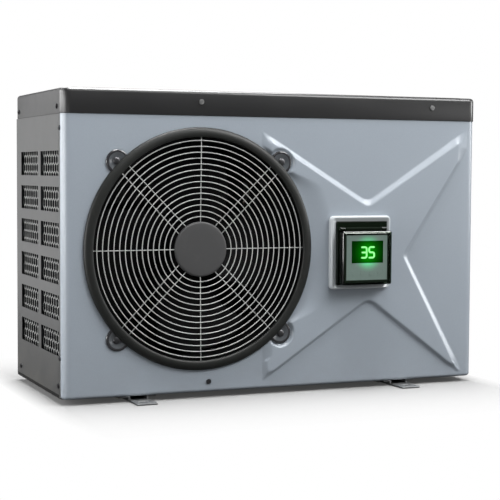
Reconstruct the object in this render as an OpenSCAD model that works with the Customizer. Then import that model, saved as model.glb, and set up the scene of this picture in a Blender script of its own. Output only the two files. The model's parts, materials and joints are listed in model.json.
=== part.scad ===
// Air-source pool heat pump, side-breathing casing with a round axial fan on
// the left of the front and the controls on the right.
// Casing coordinates: X right from the left face, Y back from the front sheet,
// Z up from the underside of the base pan. The whole unit is then moved so that
// the origin is on the floor, in the middle of the four foot slots.

/* [Casing] */
// Casing width, mm
casing_width = 733; // [732:1:741]
// Casing depth, mm
casing_depth = 299; // [297:1:303]
// Casing height with the lid, mm
casing_height = 482; // [480:1:488]
// Height of the lid's skirt, mm
lid_height = 40; // [36:1:42]
// Sheet thickness of the panels, mm
sheet = 1; // [0.8:0.1:1]
// How far the cross-shaped pressing stands out, mm
press_depth = 4.5; // [3:0.5:4.5]

/* [Feet] */
// Width of a foot rail, mm
rail_width = 34; // [30:1:36]
// Length of the slot in a foot tab, mm
slot_length = 18; // [14:1:20]
// Width of the slot in a foot tab, mm
slot_width = 10; // [8:1:11]

/* [Fan guard] */
// Number of ring wires in the fan guard
guard_rings = 14; // [8:1:16]
// Wire diameter of the fan guard, mm
guard_wire = 2.2; // [1.6:0.2:2.6]
// Radius of the plain cap in the middle of the guard, mm
cap_radius = 44; // [40:1:46]

/* [Fan] */
// Number of fan blades
fan_blades = 4; // [3:1:5]
// Tip radius of the fan, mm
fan_radius = 168; // [160:1:170]
// Axial depth of a blade at the hub, mm
blade_depth = 34; // [26:1:36]

/* [Water] */
// Bore radius of the pipe sockets (50 mm pipe), mm
socket_bore = 25.1; // [25:0.05:25.2]
// Depth of the pipe sockets, mm
socket_depth = 31; // [28:1:31]
// Turns in the titanium coil
coil_turns = 9; // [6:1:10]

/* [Display] */
// Temperature shown: tens digit
digit_tens = 3; // [0:1:9]
// Temperature shown: units digit
digit_units = 5; // [0:1:9]

/* [Hidden] */
$fn = 48;

// Casing faces
right = casing_width;
rear = casing_depth;
top = casing_height;
panel_top = top - 10;
corner_radius = 14;
flange_y = 23; // where the front sheet's side flanges end
lip_z = 5.5; // bottom edge of the side and rear panels

// Lid
lid_z = top - lid_height;
lid_gap = 0.15;
lid_sheet = 1.2;
lid_out = lid_gap + lid_sheet; // skirt's outer face, out from the casing

// Base pan and feet
pan_sheet = 1.2;
pan_wall = 28;
floor_z = -9;
rail_x = [125, 592];
tab_out = 36;
slot_out = 18;
origin_y = 149.5; // middle of the slots at the default depth

// Fan and its guard
fan_x = 226;
fan_z = 230;
ring_outer = 194;
ring_inner = 178.5;
lug_radius = 196; // from the fan axis to the guard screws
opening_radius = 180;

// Controls
control_x = [465, 552];
control_z = [170, 253];
hinge_y = -18;
hinge_z = 260;

// Equipment to the right of the partition
partition_x = 444;
compressor_x = 505;
compressor_y = 180;
exchanger_x = right - 105;
exchanger_y = 150;
exchanger_radius = 66;
inlet_z = 60;
outlet_z = 300;
port_z = [inlet_z, outlet_z];
box_z = top - 122; // underside of the electrical box
gland_y = 62;
gland_z = top - 88;

// ---------------------------------------------------------------- helpers
// 2D drawn as (X, Z), thickened from y0 to y1
module plate_xz(y0, y1)
  translate([0, y1, 0]) rotate([90, 0, 0]) linear_extrude(y1 - y0) children();
// 2D drawn as (Y, Z), thickened from x0 to x1
module plate_yz(x0, x1)
  translate([x0, 0, 0]) rotate([90, 0, 90]) linear_extrude(x1 - x0) children();

// Cylinders along one axis
module rod_x(y, z, x0, x1, radius)
  translate([x0, y, z]) rotate([0, 90, 0]) cylinder(r = radius, h = x1 - x0);
module rod_y(x, z, y0, y1, radius)
  translate([x, y0, z]) rotate([-90, 0, 0]) cylinder(r = radius, h = y1 - y0);
module rod_z(x, y, z0, z1, radius)
  translate([x, y, z0]) cylinder(r = radius, h = z1 - z0);

// Box between two opposite corners
module box(low, high) translate(low) cube(high - low);

module round_rect(x0, y0, x1, y1, radius) {
  translate([x0 + radius, y0]) square([x1 - x0 - 2 * radius, y1 - y0]);
  translate([x0, y0 + radius]) square([x1 - x0, y1 - y0 - 2 * radius]);
  for (x = [x0 + radius, x1 - radius]) for (y = [y0 + radius, y1 - radius])
    translate([x, y]) circle(radius);
}

// Four copies on the diagonals about Z
module on_diagonals(radius)
  for (a = [45:90:315]) rotate(a) translate([radius, 0, 0]) children();

// On the fan axis: local Z is casing Y
module at_fan() translate([fan_x, 0, fan_z]) rotate([-90, 0, 0]) children();
// On the fan axis: local Z stands forward from the front sheet
module at_guard() translate([fan_x, 0, fan_z]) rotate([90, 0, 0]) children();

function unit(v) = v / norm(v);

// Points that round one corner; corner is [x, y, radius], as are its neighbours
corner_steps = 5;
function corner_arc(before, corner, after) =
  let (
    radius = corner[2],
    point = [corner[0], corner[1]],
    back = unit([before[0], before[1]] - point),
    ahead = unit([after[0], after[1]] - point),
    half = acos(back * ahead) / 2,
    centre = point + unit(back + ahead) * (radius / sin(half)),
    reach = radius / tan(half),
    start = point + back * reach - centre,
    end = point + ahead * reach - centre,
    start_angle = atan2(start[1], start[0]),
    turn = atan2(end[1], end[0]) - start_angle,
    sweep = turn > 180 ? turn - 360 : (turn < -180 ? turn + 360 : turn)
  )
  radius == 0 ? [point] : [for (i = [0:corner_steps])
    let (a = start_angle + sweep * i / corner_steps) centre + radius * [cos(a), sin(a)]];
function rounded(outline) =
  let (n = len(outline))
  [for (i = [0:n - 1])
    each corner_arc(outline[(i + n - 1) % n], outline[i], outline[(i + 1) % n])];

// Two triangles filling a quad, split from a to c
function quad(a, b, c, d) = [[c, b, a], [d, c, a]];

// Moves local X and Y onto two unit directions, and the origin onto a point
module frame(origin, x_dir, y_dir) {
  z_dir = cross(x_dir, y_dir);
  multmatrix([
    [x_dir[0], y_dir[0], z_dir[0], origin[0]],
    [x_dir[1], y_dir[1], z_dir[1], origin[1]],
    [x_dir[2], y_dir[2], z_dir[2], origin[2]],
    [0, 0, 0, 1]
  ]) children();
}

// Cylinder between two points on an axis-aligned line
module rod(start, end, radius) {
  along = unit(end - start);
  side = [along[1], along[2], along[0]];
  frame(start, side, cross(along, side)) cylinder(r = radius, h = norm(end - start));
}
// Quarter bend around a path's corner, turning from dir_in to dir_out
module elbow(corner, dir_in, dir_out, radius, bend)
  frame(corner - dir_in * bend + dir_out * bend, -dir_out, dir_in)
    rotate_extrude(angle = 90) translate([bend, 0]) circle(radius);
// Tube through axis-aligned points
module tube_path(points, radius, bend) {
  last = len(points) - 1;
  for (i = [0:last - 1]) {
    trim = unit(points[i + 1] - points[i]) * bend;
    rod(points[i] + (i > 0 ? trim : [0, 0, 0]),
      points[i + 1] - (i < last - 1 ? trim : [0, 0, 0]), radius);
  }
  if (last > 1) for (i = [1:last - 1])
    elbow(points[i], unit(points[i] - points[i - 1]), unit(points[i + 1] - points[i]),
      radius, bend);
}

// ---------------------------------------------------------------- screws
// Each entry: x, y, z on the outer face, then the outward direction's x and y
lid_screw_z = top - 28.6;
flange_screw_y = 17;
flange_screw_z = [420, 63.4];

// A screw on the left and its mirror image on the right
function side_pair(out, y, z) = [[-out, y, z, -1, 0], [right + out, y, z, 1, 0]];

lid_front_screws = [[226.2, -lid_out, top - 18, 0, -1], [646.2, -lid_out, top - 18.5, 0, -1]];
lid_side_screws = [for (y = [28, rear - 23]) each side_pair(lid_out, y, lid_screw_z)];
lid_rear_screws = [for (x = [200, 600]) [x, rear + lid_out, lid_screw_z, 0, 1]];
flange_screws = [for (z = flange_screw_z) each side_pair(0, flange_screw_y, z)];
side_low_screws = concat(side_pair(0, 26.7, 19.1), side_pair(0, rear - 27.6, 18.8));
front_low_screws = [[240.2, 0, 16.8, 0, -1]];
rear_low_screws = [for (x = [60, right - 60]) [x, rear, 18, 0, 1]];

function screw_point(s) = [s[0], s[1], s[2]];
function screw_dir(s) = [s[3], s[4], 0];

module holes(list)
  for (s = list)
    rod(screw_point(s) - screw_dir(s) * 9, screw_point(s) + screw_dir(s), 2.05);

// Screw with a two-step head and a cross slot
module screw(s) {
  face = screw_point(s);
  out = screw_dir(s);
  difference() {
    union() {
      rod(face - out * 8, face, 1.95);
      rod(face, face + out * 1.4, 4.2);
      rod(face + out * 1.4, face + out * 2.1, 3.2);
    }
    translate(face + out * 1.9) rotate([0, 0, s[3] == 0 ? 0 : 90]) {
      cube([4, 1.9, 0.8], center = true);
      cube([0.8, 1.9, 4], center = true);
    }
  }
}

module casing_screws() color([0.16, 0.16, 0.17])
  for (s = concat(lid_front_screws, lid_side_screws, lid_rear_screws, flange_screws,
      side_low_screws, front_low_screws, rear_low_screws))
    screw(s);

// ---------------------------------------------------------------- base
drain_x = 300;
drain_y = 205;
bolt_hole_radius = 3.2;
bolt_spots = [for (x = rail_x) for (dx = [-23, 23]) for (y = [42, rear - 42]) [x + dx, y]];
foot_angles = [30, 150, 270];
foot_radius = 58; // from the compressor axis to its feet
foot_spots = [for (a = foot_angles)
  [compressor_x + foot_radius * cos(a), compressor_y + foot_radius * sin(a)]];

module pan_outline(inset) {
  chamfer_y = corner_radius + 1.4;
  polygon([
    [1 + inset, rear - sheet - inset],
    [1 + inset, chamfer_y + inset],
    [9.5 + inset, 6.4 + inset],
    [right - 9.5 - inset, 6.4 + inset],
    [right - 1 - inset, chamfer_y + inset],
    [right - 1 - inset, rear - sheet - inset]
  ]);
}

module base_pan() color([0.55, 0.56, 0.57]) {
  difference() {
    union() {
      linear_extrude(pan_sheet) pan_outline(0);
      linear_extrude(pan_wall) difference() {
        pan_outline(0);
        pan_outline(1);
      }
      // edge strips under the side and rear panels
      for (x = [0, right - 1])
        box([x, flange_y + 0.2, 0], [x + 1, rear, lip_z - 0.1]);
      box([1, rear - sheet, 0], [right - 1, rear, lip_z - 0.1]);
      rod_z(drain_x, drain_y, -6, pan_sheet, 12);
    }
    for (b = bolt_spots) rod_z(b[0], b[1], -1, 3, bolt_hole_radius);
    rod_z(drain_x, drain_y, -7, 4, 9.1);
    holes(side_low_screws);
    holes(rear_low_screws);
    holes(front_low_screws);
  }
  // compressor studs
  for (f = foot_spots) rod_z(f[0], f[1], pan_sheet, 24, 3);
}

// Foot rail: floor strip, two uprights, and a ledge outward of each
module rail(x) {
  half = rail_width / 2;
  slot_half = (slot_length - slot_width) / 2;
  difference() {
    union() {
      box([x - half, -tab_out, floor_z], [x + half, rear + tab_out, floor_z + 3]);
      for (s = [-1, 1]) {
        translate([x + s * (half - 1.5) - 1.5, 8, floor_z]) cube([3, rear - 16, 9]);
        translate([x + s * (half + 5) - 7, 8, -3]) cube([14, rear - 16, 3]);
      }
    }
    for (y = [-slot_out, rear + slot_out]) {
      translate([x - slot_half, y - slot_width / 2, floor_z - 1])
        cube([2 * slot_half, slot_width, 5]);
      for (s = [-1, 1])
        rod_z(x + s * slot_half, y, floor_z - 1, floor_z + 4, slot_width / 2);
    }
    for (b = bolt_spots) rod_z(b[0], b[1], -8.9, 1, bolt_hole_radius);
  }
}
module foot_rail_left() color([0.62, 0.63, 0.64]) rail(rail_x[0]);
module foot_rail_right() color([0.62, 0.63, 0.64]) rail(rail_x[1]);

// Head, shank and nut of each bolt
module foot_bolts() color([0.75, 0.75, 0.74])
  for (b = bolt_spots) translate([b[0], b[1], 0]) {
    translate([0, 0, pan_sheet]) cylinder(r = 5.4, h = 4, $fn = 6);
    translate([0, 0, -8.6]) cylinder(r = 3, h = 8.6 + pan_sheet);
    translate([0, 0, -7.6]) cylinder(r = 5.3, h = 4.6, $fn = 6);
  }

// ---------------------------------------------------------------- front sheet
// Outlines of the cross-shaped pressing, each point: x, z, corner radius.
// The foot line is on the sheet, the plateau line on the raised face.
press_foot = [
  [334, 11.5, 0], [331, 420.5, 0], [524, 304.5, 22], [718, 430, 0], [718, 394, 0],
  [599.6, 212, 15], [713.5, 8, 0], [702, 8.5, 0], [527, 139, 20]
];
press_plateau = [
  [351.5, 36, 0], [350, 398.5, 0], [524, 294.4, 16], [696, 401, 0], [696.5, 373, 0],
  [589, 214, 10], [687.5, 31, 0], [684, 32.5, 0], [527, 149.3, 14]
];
fold_radius = 5; // fold along the front's bottom edge

module pressing() {
  foot = [for (p = rounded(press_foot)) [p[0], 0, p[1]]];
  plateau = [for (p = rounded(press_plateau)) [p[0], -press_depth, p[1]]];
  n = len(foot);
  polyhedron(points = concat(foot, plateau), faces = concat(
    [[for (i = [0:n - 1]) n - 1 - i]],
    [[for (i = [0:n - 1]) n + i]],
    [for (i = [0:n - 1]) [i, (i + 1) % n, n + i]],
    [for (i = [0:n - 1]) [(i + 1) % n, n + (i + 1) % n, n + i]]));
}

// Flat left around the guard ring and its two right-hand lugs
module ring_seat(radius, seat_lug_radius, y0, y1) {
  rod_y(fan_x, fan_z, y0, y1, radius);
  for (a = [45, -45])
    rod_y(fan_x + lug_radius * cos(a), fan_z + lug_radius * sin(a), y0, y1, seat_lug_radius);
}

// Quarter of a sheet-thick ring, cut out by the square that starts at square_x
module quarter_bend(centre_x, square_x, radius) intersection() {
  translate([centre_x, radius]) difference() {
    circle(radius);
    circle(radius - sheet);
  }
  translate([square_x, 0]) square([radius, radius]);
}

// Rounded corners and side flanges of the front sheet, in plan
module front_ends() {
  for (x = [0, right - sheet])
    translate([x, corner_radius]) square([sheet, flange_y - corner_radius]);
  quarter_bend(corner_radius, 0, corner_radius);
  quarter_bend(right - corner_radius, right - corner_radius, corner_radius);
}

module front_panel() color([0.58, 0.61, 0.65]) difference() {
  union() {
    translate([0, 0, 5]) linear_extrude(panel_top - 5) {
      translate([corner_radius, 0]) square([right - 2 * corner_radius, sheet]);
      front_ends();
    }
    linear_extrude(5) front_ends();
    plate_yz(corner_radius, right - corner_radius)
      quarter_bend(fold_radius, 0, fold_radius);
    difference() {
      pressing();
      ring_seat(195.5, 20.5, -6, 2);
    }
  }
  // hollow behind the plateau
  difference() {
    plate_xz(sheet - press_depth, sheet + 0.5) polygon(rounded(press_plateau));
    ring_seat(196.5, 21.5, -6, 3);
  }
  rod_y(fan_x, fan_z, -8, 4, opening_radius);
  for (a = [45:90:315])
    rod_y(fan_x + lug_radius * cos(a), fan_z + lug_radius * sin(a), -1, 2, 2.3);
  box([466, -8, 172], [550, 4, 267]);
  holes(flange_screws);
  holes(lid_front_screws);
  holes(front_low_screws);
}

// ---------------------------------------------------------------- lid
// Casing outline grown by gap, with its top edge rounded
module lid_solid(gap, z0, z1, edge_radius) {
  radius = corner_radius + gap;
  hull()
    for (x = [corner_radius, right - corner_radius])
      for (y = [corner_radius, rear - corner_radius]) translate([x, y, 0]) {
        translate([0, 0, z0]) cylinder(r = radius, h = z1 - edge_radius - z0, $fn = 32);
        translate([0, 0, z1 - edge_radius]) rotate_extrude($fn = 32)
          translate([radius - edge_radius, 0]) circle(edge_radius, $fn = 24);
      }
}
module top_cover() color([0.2, 0.2, 0.21]) difference() {
  lid_solid(lid_out, lid_z, top, 5);
  lid_solid(lid_gap, lid_z - 8, top - lid_sheet, 3.9);
  holes(lid_front_screws);
  holes(lid_side_screws);
  holes(lid_rear_screws);
}

// ---------------------------------------------------------------- sides, rear
// Two columns of air windows in the left panel
window_y = [20, 152];
window_length = [114.5, 114];
window_height = 39;
window_tops = [385, 328.8, 272.7, 216.5, 160.4, 104.3];
// Hexagon mesh of the grille
mesh_pitch_y = 14.4;
mesh_pitch_z = 13;

module windows()
  for (c = [0, 1]) for (z = window_tops)
    translate([window_y[c], z - window_height]) square([window_length[c], window_height]);

module side_blank()
  translate([flange_y + 0.2, lip_z]) square([rear - flange_y - 0.2, panel_top - lip_z]);

module left_side_panel() color([0.5, 0.5, 0.5]) difference() {
  union() {
    plate_yz(0, sheet) difference() {
      side_blank();
      windows();
    }
    // strip lapping behind the front sheet's flange
    difference() {
      box([sheet, corner_radius + 0.1, pan_wall + 3], [2 * sheet, 44, panel_top]);
      plate_yz(0.5, 3) windows();
    }
    box([sheet, rear - sheet, lip_z], [22, rear, panel_top]);
  }
  holes(flange_screws);
  holes(side_low_screws);
  holes(lid_side_screws);
  // rear corner, cut back under the lid
  box([-1, rear - corner_radius + 1.4, lid_z - 0.1],
    [corner_radius - 1.4, rear + 1, panel_top + 1]);
}

// Drawn as (Y, Z)
module grille_sheet() difference() {
  translate([16, 55]) square([254, 337]);
  translate([flange_screw_y, flange_screw_z[1]]) circle(r = 2.3);
  for (z = window_tops) for (c = [0, 1]) {
    translate([window_y[c] + window_length[c] + 0.5, z - window_height + 1])
      square([17, window_height - 2]);
    for (row = [0:3]) for (i = [0:6])
      translate([window_y[c] + (row % 2 == 1 ? 14.0 : 6.8) + mesh_pitch_y * i,
          z - 0.8 - mesh_pitch_z * row])
        rotate(30) circle(r = 7.15, $fn = 6);
  }
}
module side_grille() color([0.45, 0.45, 0.45]) {
  plate_yz(4, 6) grille_sheet();
  // spacer bars between the panel and the grille
  for (z = [58.5, 389]) box([sheet, 48, z - 1.5], [4, 250, z + 1.5]);
  for (i = [1:5]) box([sheet, 48, window_tops[i] + 6.8], [4, 250, window_tops[i] + 8.8]);
}

module right_side_panel() color([0.5, 0.5, 0.5]) difference() {
  union() {
    plate_yz(right - sheet, right) difference() {
      side_blank();
      for (z = port_z) translate([exchanger_y, z]) circle(r = 34);
      translate([gland_y, gland_z]) circle(r = 10.2);
      for (i = [0:5]) translate([222, 92 + 14 * i]) square([48, 5]);
    }
    box([right - 2 * sheet, corner_radius + 0.1, pan_wall + 3],
      [right - sheet, 44, panel_top]);
    box([right - 22, rear - sheet, lip_z], [right - sheet, rear, panel_top]);
  }
  holes(flange_screws);
  holes(side_low_screws);
  holes(lid_side_screws);
  box([right - corner_radius + 1.4, rear - corner_radius + 1.4, lid_z - 0.1],
    [right + 1, rear + 1, panel_top + 1]);
}

module rear_panel() color([0.5, 0.5, 0.5]) difference() {
  plate_xz(rear - sheet, rear) difference() {
    translate([22.1, lip_z]) square([right - 44.2, panel_top - lip_z]);
    translate([34, 36]) square([386, 392]);
  }
  holes(rear_low_screws);
  holes(lid_rear_screws);
}

module rear_coil_guard() color([0.12, 0.12, 0.13]) plate_xz(rear, rear + 3) difference() {
  translate([28, 30]) square([398, 404]);
  for (i = [0:14]) for (j = [0:9]) translate([34 + 26 * i, 37 + 39.4 * j]) square([22, 36]);
}

module partition_plate() color([0.7, 0.71, 0.72]) difference() {
  union() {
    plate_yz(partition_x, partition_x + 1.2)
      translate([16, pan_sheet]) square([rear - 36, panel_top - pan_sheet - 2]);
    box([partition_x - 14, 16, pan_sheet], [partition_x, rear - 20, pan_sheet + 1.2]);
  }
  // pipe holes, each at y, z
  for (p = [[110, 212], [248, 60]])
    rod_x(p[0], p[1], partition_x - 2, partition_x + 3, 9);
}

// ---------------------------------------------------------------- fan guard
lug_face = 1.6; // front of the screw seats
ring_profile = [ // radius, height in front of the sheet
  [ring_inner, 0], [ring_inner, 5.2], [180.2, 6.2], [183, 6.6], [187, 6.3],
  [190.5, 5.4], [192.8, 4], [ring_outer, 2.2], [ring_outer, 0]
];
first_wire = 52; // radius of the innermost ring wire
wire_pitch = 9.3 * 13 / (guard_rings - 1);
spoke_radius = 1.3;

module guard_ring() color([0.11, 0.11, 0.12]) at_guard() difference() {
  union() {
    rotate_extrude($fn = 96) polygon(ring_profile);
    for (a = [45:90:315]) rotate(a) difference() {
      translate([lug_radius, 0, 0]) cylinder(r = 19, h = 3.4);
      cylinder(r = 186, h = 20, center = true, $fn = 96);
      translate([lug_radius, 0, lug_face]) cylinder(r1 = 8, r2 = 15.5, h = 2.5);
    }
  }
  on_diagonals(lug_radius) {
    translate([0, 0, -1]) cylinder(r = 2.3, h = 6);
    translate([0, 0, lug_face]) cylinder(r = 6.5, h = 8);
  }
}

// Y of a ring wire's centre at a given radius; the guard is slightly dished
function dish(radius) = -3.4 + 3.2 * (ring_inner - radius) / (ring_inner - cap_radius);

// Spoke from the cap to the ring, offset sideways from the fan axis
module spoke(offset_z) {
  near = max(abs(offset_z) - spoke_radius, 0);
  inner = sqrt(cap_radius * cap_radius - near * near) + 0.05;
  outer = sqrt(178.3 * 178.3 - offset_z * offset_z);
  behind = guard_wire / 2 + 1.4;
  start = [inner, dish(inner) + behind, offset_z];
  end = [outer, dish(outer) + behind, offset_z];
  frame(start, cross([0, 0, 1], unit(end - start)), [0, 0, 1])
    cylinder(r = spoke_radius, h = norm(end - start), $fn = 24);
}
module guard_wires() color([0.7, 0.7, 0.7]) translate([fan_x, 0, fan_z]) {
  for (k = [0:guard_rings - 1]) {
    radius = first_wire + wire_pitch * k;
    translate([0, dish(radius), 0]) rotate([90, 0, 0])
      rotate_extrude($fn = 96) translate([radius, 0]) circle(guard_wire / 2, $fn = 16);
  }
  for (a = [0:90:270]) rotate([0, a, 0]) spoke(0);
  for (a = [45:90:315]) rotate([0, a, 0]) {
    spoke(8.15);
    spoke(-8.15);
  }
}

module guard_cap() color([0.2, 0.2, 0.21]) at_fan() {
  translate([0, 0, -2.2]) cylinder(r = cap_radius - 1, h = 1, $fn = 96);
  translate([0, 0, -1.2]) cylinder(r = cap_radius, h = 4.2, $fn = 96);
}

module guard_screws() color([0.25, 0.25, 0.26]) at_guard()
  on_diagonals(lug_radius) difference() {
    union() {
      translate([0, 0, -7]) cylinder(r = 2.1, h = 7 + lug_face);
      translate([0, 0, lug_face]) cylinder(r = 6, h = 1.2);
      translate([0, 0, lug_face + 1.2]) cylinder(r = 4.4, h = 1.6);
    }
    translate([0, 0, 4]) {
      cube([5, 1, 1.6], center = true);
      cube([1, 5, 1.6], center = true);
    }
  }

// ---------------------------------------------------------------- controls
plateau_y = -press_depth;
body_y = -28; // front of the controller body, back of its face plate
face_y = -29.2; // front of the face plate
screen_x = [481, 539.6];
screen_z = [203.6, 240.6];
key_x = [486, 502, 518, 534];
key_z = 187;

module frame_layer(y0, y1, inset, radius) plate_xz(y0, y1) difference() {
  round_rect(451 + inset, 159.5 + inset, 562 - inset, 281.5 - inset, radius);
  translate([461.4, 166.8]) square([93.2, 105.4]);
}
module display_frame() color([0.72, 0.73, 0.74]) {
  frame_layer(plateau_y - 6.5, plateau_y, 0, 6);
  frame_layer(plateau_y - 8.5, plateau_y - 6.5, 1.2, 5);
}

module display_housing() color([0.05, 0.05, 0.05]) {
  difference() {
    union() {
      box([461.6, -14, 167], [554.4, plateau_y - 0.1, 272]);
      box([467, plateau_y - 0.1, 173], [549, 20, 266]);
    }
    box([469, -11, 175], [547, 18, 264]);
  }
  // hinge lugs
  for (x = [465, 542]) difference() {
    union() {
      rod_x(hinge_y, hinge_z, x, x + 9, 3);
      box([x, hinge_y, hinge_z - 3], [x + 9, -14, hinge_z + 3]);
    }
    rod_x(hinge_y, hinge_z, x - 1, x + 11, 1.56);
  }
}

module controller_body() color([0.08, 0.08, 0.08]) difference() {
  box([control_x[0], body_y, control_z[0]], [control_x[1], -14, control_z[1]]);
  box([control_x[0] + 2, -30, control_z[0] + 2], [control_x[1] - 2, -16, control_z[1] - 2]);
}

module controller_face() color([0.42, 0.44, 0.45]) plate_xz(face_y, body_y) difference() {
  round_rect(control_x[0], control_z[0], control_x[1], control_z[1], 2);
  translate([screen_x[0], screen_z[0]])
    square([screen_x[1] - screen_x[0], screen_z[1] - screen_z[0]]);
  for (x = key_x) translate([x, key_z]) circle(4.6);
}

// Window with a retaining strip down each side, behind the face plate
module led_window() color([0.02, 0.12, 0.03]) {
  window_x = [screen_x[0] + 0.1, screen_x[1] - 0.1];
  back = -26.6;
  box([window_x[0], face_y, screen_z[0] + 0.1], [window_x[1], back, screen_z[1] - 0.1]);
  for (x = [[screen_x[0] - 1, window_x[0]], [window_x[1], screen_x[1] + 1]])
    box([x[0], body_y, screen_z[0] - 1], [x[1], back, screen_z[1] + 1]);
}

// Seven-segment digits, lower left corner at the origin
digit_width = 9.6;
digit_height = 17.4;
digit_middle = digit_height / 2;
segment_ends = [ // segments a to g, each from one end to the other
  [[0, digit_height], [digit_width, digit_height]],
  [[digit_width, digit_height], [digit_width, digit_middle]],
  [[digit_width, digit_middle], [digit_width, 0]],
  [[0, 0], [digit_width, 0]],
  [[0, 0], [0, digit_middle]],
  [[0, digit_middle], [0, digit_height]],
  [[0, digit_middle], [digit_width, digit_middle]]
];
lit_segments = ["abcdef", "bc", "abged", "abgcd", "fgbc", "afgcd", "afgedc", "abc",
  "abcdefg", "abcdfg"];

// Six-sided bar with pointed ends
module segment(start, end) {
  half = 1.35;
  along = unit(end - start);
  side = [-along[1], along[0]] * half;
  tip = along * half * 0.3;
  shoulder = along * (half * 1.3);
  polygon([
    start + tip, start + shoulder + side, end - shoulder + side,
    end - tip, end - shoulder - side, start + shoulder - side
  ]);
}
module digit(value) {
  letters = lit_segments[value];
  for (i = [0:len(letters) - 1]) {
    ends = segment_ends[search(letters[i], "abcdefg")[0]];
    segment(ends[0], ends[1]);
  }
}
module led_digits() color([0.4, 1, 0.45]) plate_xz(-29.6, face_y) {
  translate([499.3, 212.6]) digit(digit_tens);
  translate([513.3, 212.6]) digit(digit_units);
}

// Board with key switches, display block and corner pillars
module controller_pcb() color([0.05, 0.3, 0.12]) {
  front = -22;
  back = -20.4;
  box([control_x[0] + 3, front, control_z[0] + 3], [control_x[1] - 3, back, control_z[1] - 3]);
  for (x = key_x) {
    box([x - 3, -23.6, key_z - 3], [x + 3, front, key_z + 3]);
    rod_y(x, key_z, -25, -23.6, 1.75);
  }
  box([484, -26.5, 206], [537, front, 238]);
  for (x = [control_x[0] + 8, control_x[1] - 8]) for (z = [control_z[0] + 8, control_z[1] - 8])
    rod_y(x, z, back, -16, 2.5);
}

// Button, retaining flange and plunger
module key(x) {
  rod_y(x, key_z, -29.6, -27.4, 4.5);
  rod_y(x, key_z, -27.4, -26.4, 5.6);
  rod_y(x, key_z, -26.4, -25.7, 2);
}
module key_power() color([0.42, 0.44, 0.45]) key(key_x[0]);
module key_mode() color([0.42, 0.44, 0.45]) key(key_x[1]);
module key_up() color([0.42, 0.44, 0.45]) key(key_x[2]);
module key_down() color([0.42, 0.44, 0.45]) key(key_x[3]);

// Clear cover hung from a barrel and two hinge pins
module display_cover() color([0.1, 0.12, 0.1, 0.4]) {
  barrel_x = [475, 541];
  barrel_radius = 2.9;
  difference() {
    box([463, -33, 168], [554, -14.2, 256.5]);
    box([464.6, -31.2, 169.6], [552.4, -13, 254.9]);
    box([463.8, -15.8, 250], [553.2, -13, 258]);
  }
  rod_x(hinge_y, hinge_z, barrel_x[0], barrel_x[1], barrel_radius);
  box([barrel_x[0], hinge_y - barrel_radius, 256.5], [barrel_x[1], hinge_y, hinge_z]);
  rod_x(hinge_y, hinge_z, barrel_x[0] - 9, barrel_x[0], 1.5);
  rod_x(hinge_y, hinge_z, barrel_x[1], barrel_x[1] + 9, 1.5);
}

// ---------------------------------------------------------------- fan
// Measurements along the fan axis are casing Y
shroud_inner = 173.5;
shroud_outer = 176;
shroud_back = sheet + 49;
bracket_y = 152; // rear face of the motor
bracket_half = 40;
post_width = 18;
post_x = [fan_x - bracket_half, fan_x + bracket_half - post_width];
motor_bolt_radius = 40; // from the fan axis to the bolts
shaft_radius = 6;
bearing_y = [97.5, 142];
// Motor shell profiles: radius, y
front_shell_profile = [
  [8, 94], [40, 94], [48, 100], [48, 124], [45, 124], [45, 103], [39, 97],
  [14, 97], [14, 105], [11.03, 105], [11.03, 96.5], [8, 96.5]
];
rear_shell_profile = [
  [0, bracket_y], [48, bracket_y], [48, 124.05], [45, 124.05], [45, 149],
  [14, 149], [14, 142], [11.03, 142], [11.03, 149.3], [0, 149.3]
];

module fan_shroud() color([0.1, 0.1, 0.11]) at_fan() difference() {
  rotate_extrude($fn = 96) union() {
    translate([shroud_inner, sheet]) square([shroud_outer - shroud_inner, 49]);
    translate([174, sheet]) square([29, 1.8]);
    polygon([[shroud_inner, shroud_back], [shroud_outer, shroud_back], [184, 58], [182, 60]]);
  }
  on_diagonals(lug_radius) cylinder(r = 2.3, h = 8);
}

module motor_bracket() color([0.65, 0.66, 0.67]) {
  plate_xz(bracket_y, bracket_y + 2) difference() {
    union() {
      for (x = post_x) translate([x, pan_sheet]) square([post_width, top - 30 - pan_sheet]);
      translate([post_x[0], fan_z - 52]) square([2 * bracket_half, 104]);
      translate([2.2, top - 46]) square([partition_x - 2.2, 16]);
    }
    translate([fan_x, fan_z]) circle(16);
    for (a = [45:90:315])
      translate([fan_x, fan_z] + motor_bolt_radius * [cos(a), sin(a)]) circle(2.6);
  }
  for (x = post_x)
    box([x, bracket_y + 2, pan_sheet], [x + post_width, 176, pan_sheet + 2]);
}

module motor_front_shell() color([0.3, 0.31, 0.32]) at_fan()
  rotate_extrude($fn = 64) polygon(front_shell_profile);
module motor_rear_shell() color([0.3, 0.31, 0.32]) at_fan() difference() {
  rotate_extrude($fn = 64) polygon(rear_shell_profile);
  on_diagonals(motor_bolt_radius) translate([0, 0, 151]) cylinder(r = 1.5, h = 2);
}
module motor_stator() color([0.7, 0.4, 0.2]) at_fan() difference() {
  union() {
    translate([0, 0, 110]) cylinder(r = 44.95, h = 28);
    translate([0, 0, 106]) cylinder(r = 40, h = 36);
  }
  translate([0, 0, 100]) cylinder(r = 27.6, h = 50);
  for (a = [0:30:330]) rotate(a) translate([34, 0, 105]) cylinder(r = 2.5, h = 40);
}
module motor_rotor() color([0.5, 0.5, 0.52]) at_fan() difference() {
  translate([0, 0, 109]) cylinder(r = 27, h = 30);
  translate([0, 0, 100]) cylinder(r = shaft_radius, h = 50);
}
module motor_shaft() color([0.75, 0.76, 0.77]) at_fan() {
  translate([0, 0, 14]) cylinder(r = 4, h = 10);
  translate([0, 0, 24]) cylinder(r = shaft_radius, h = 124.9);
}
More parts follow.
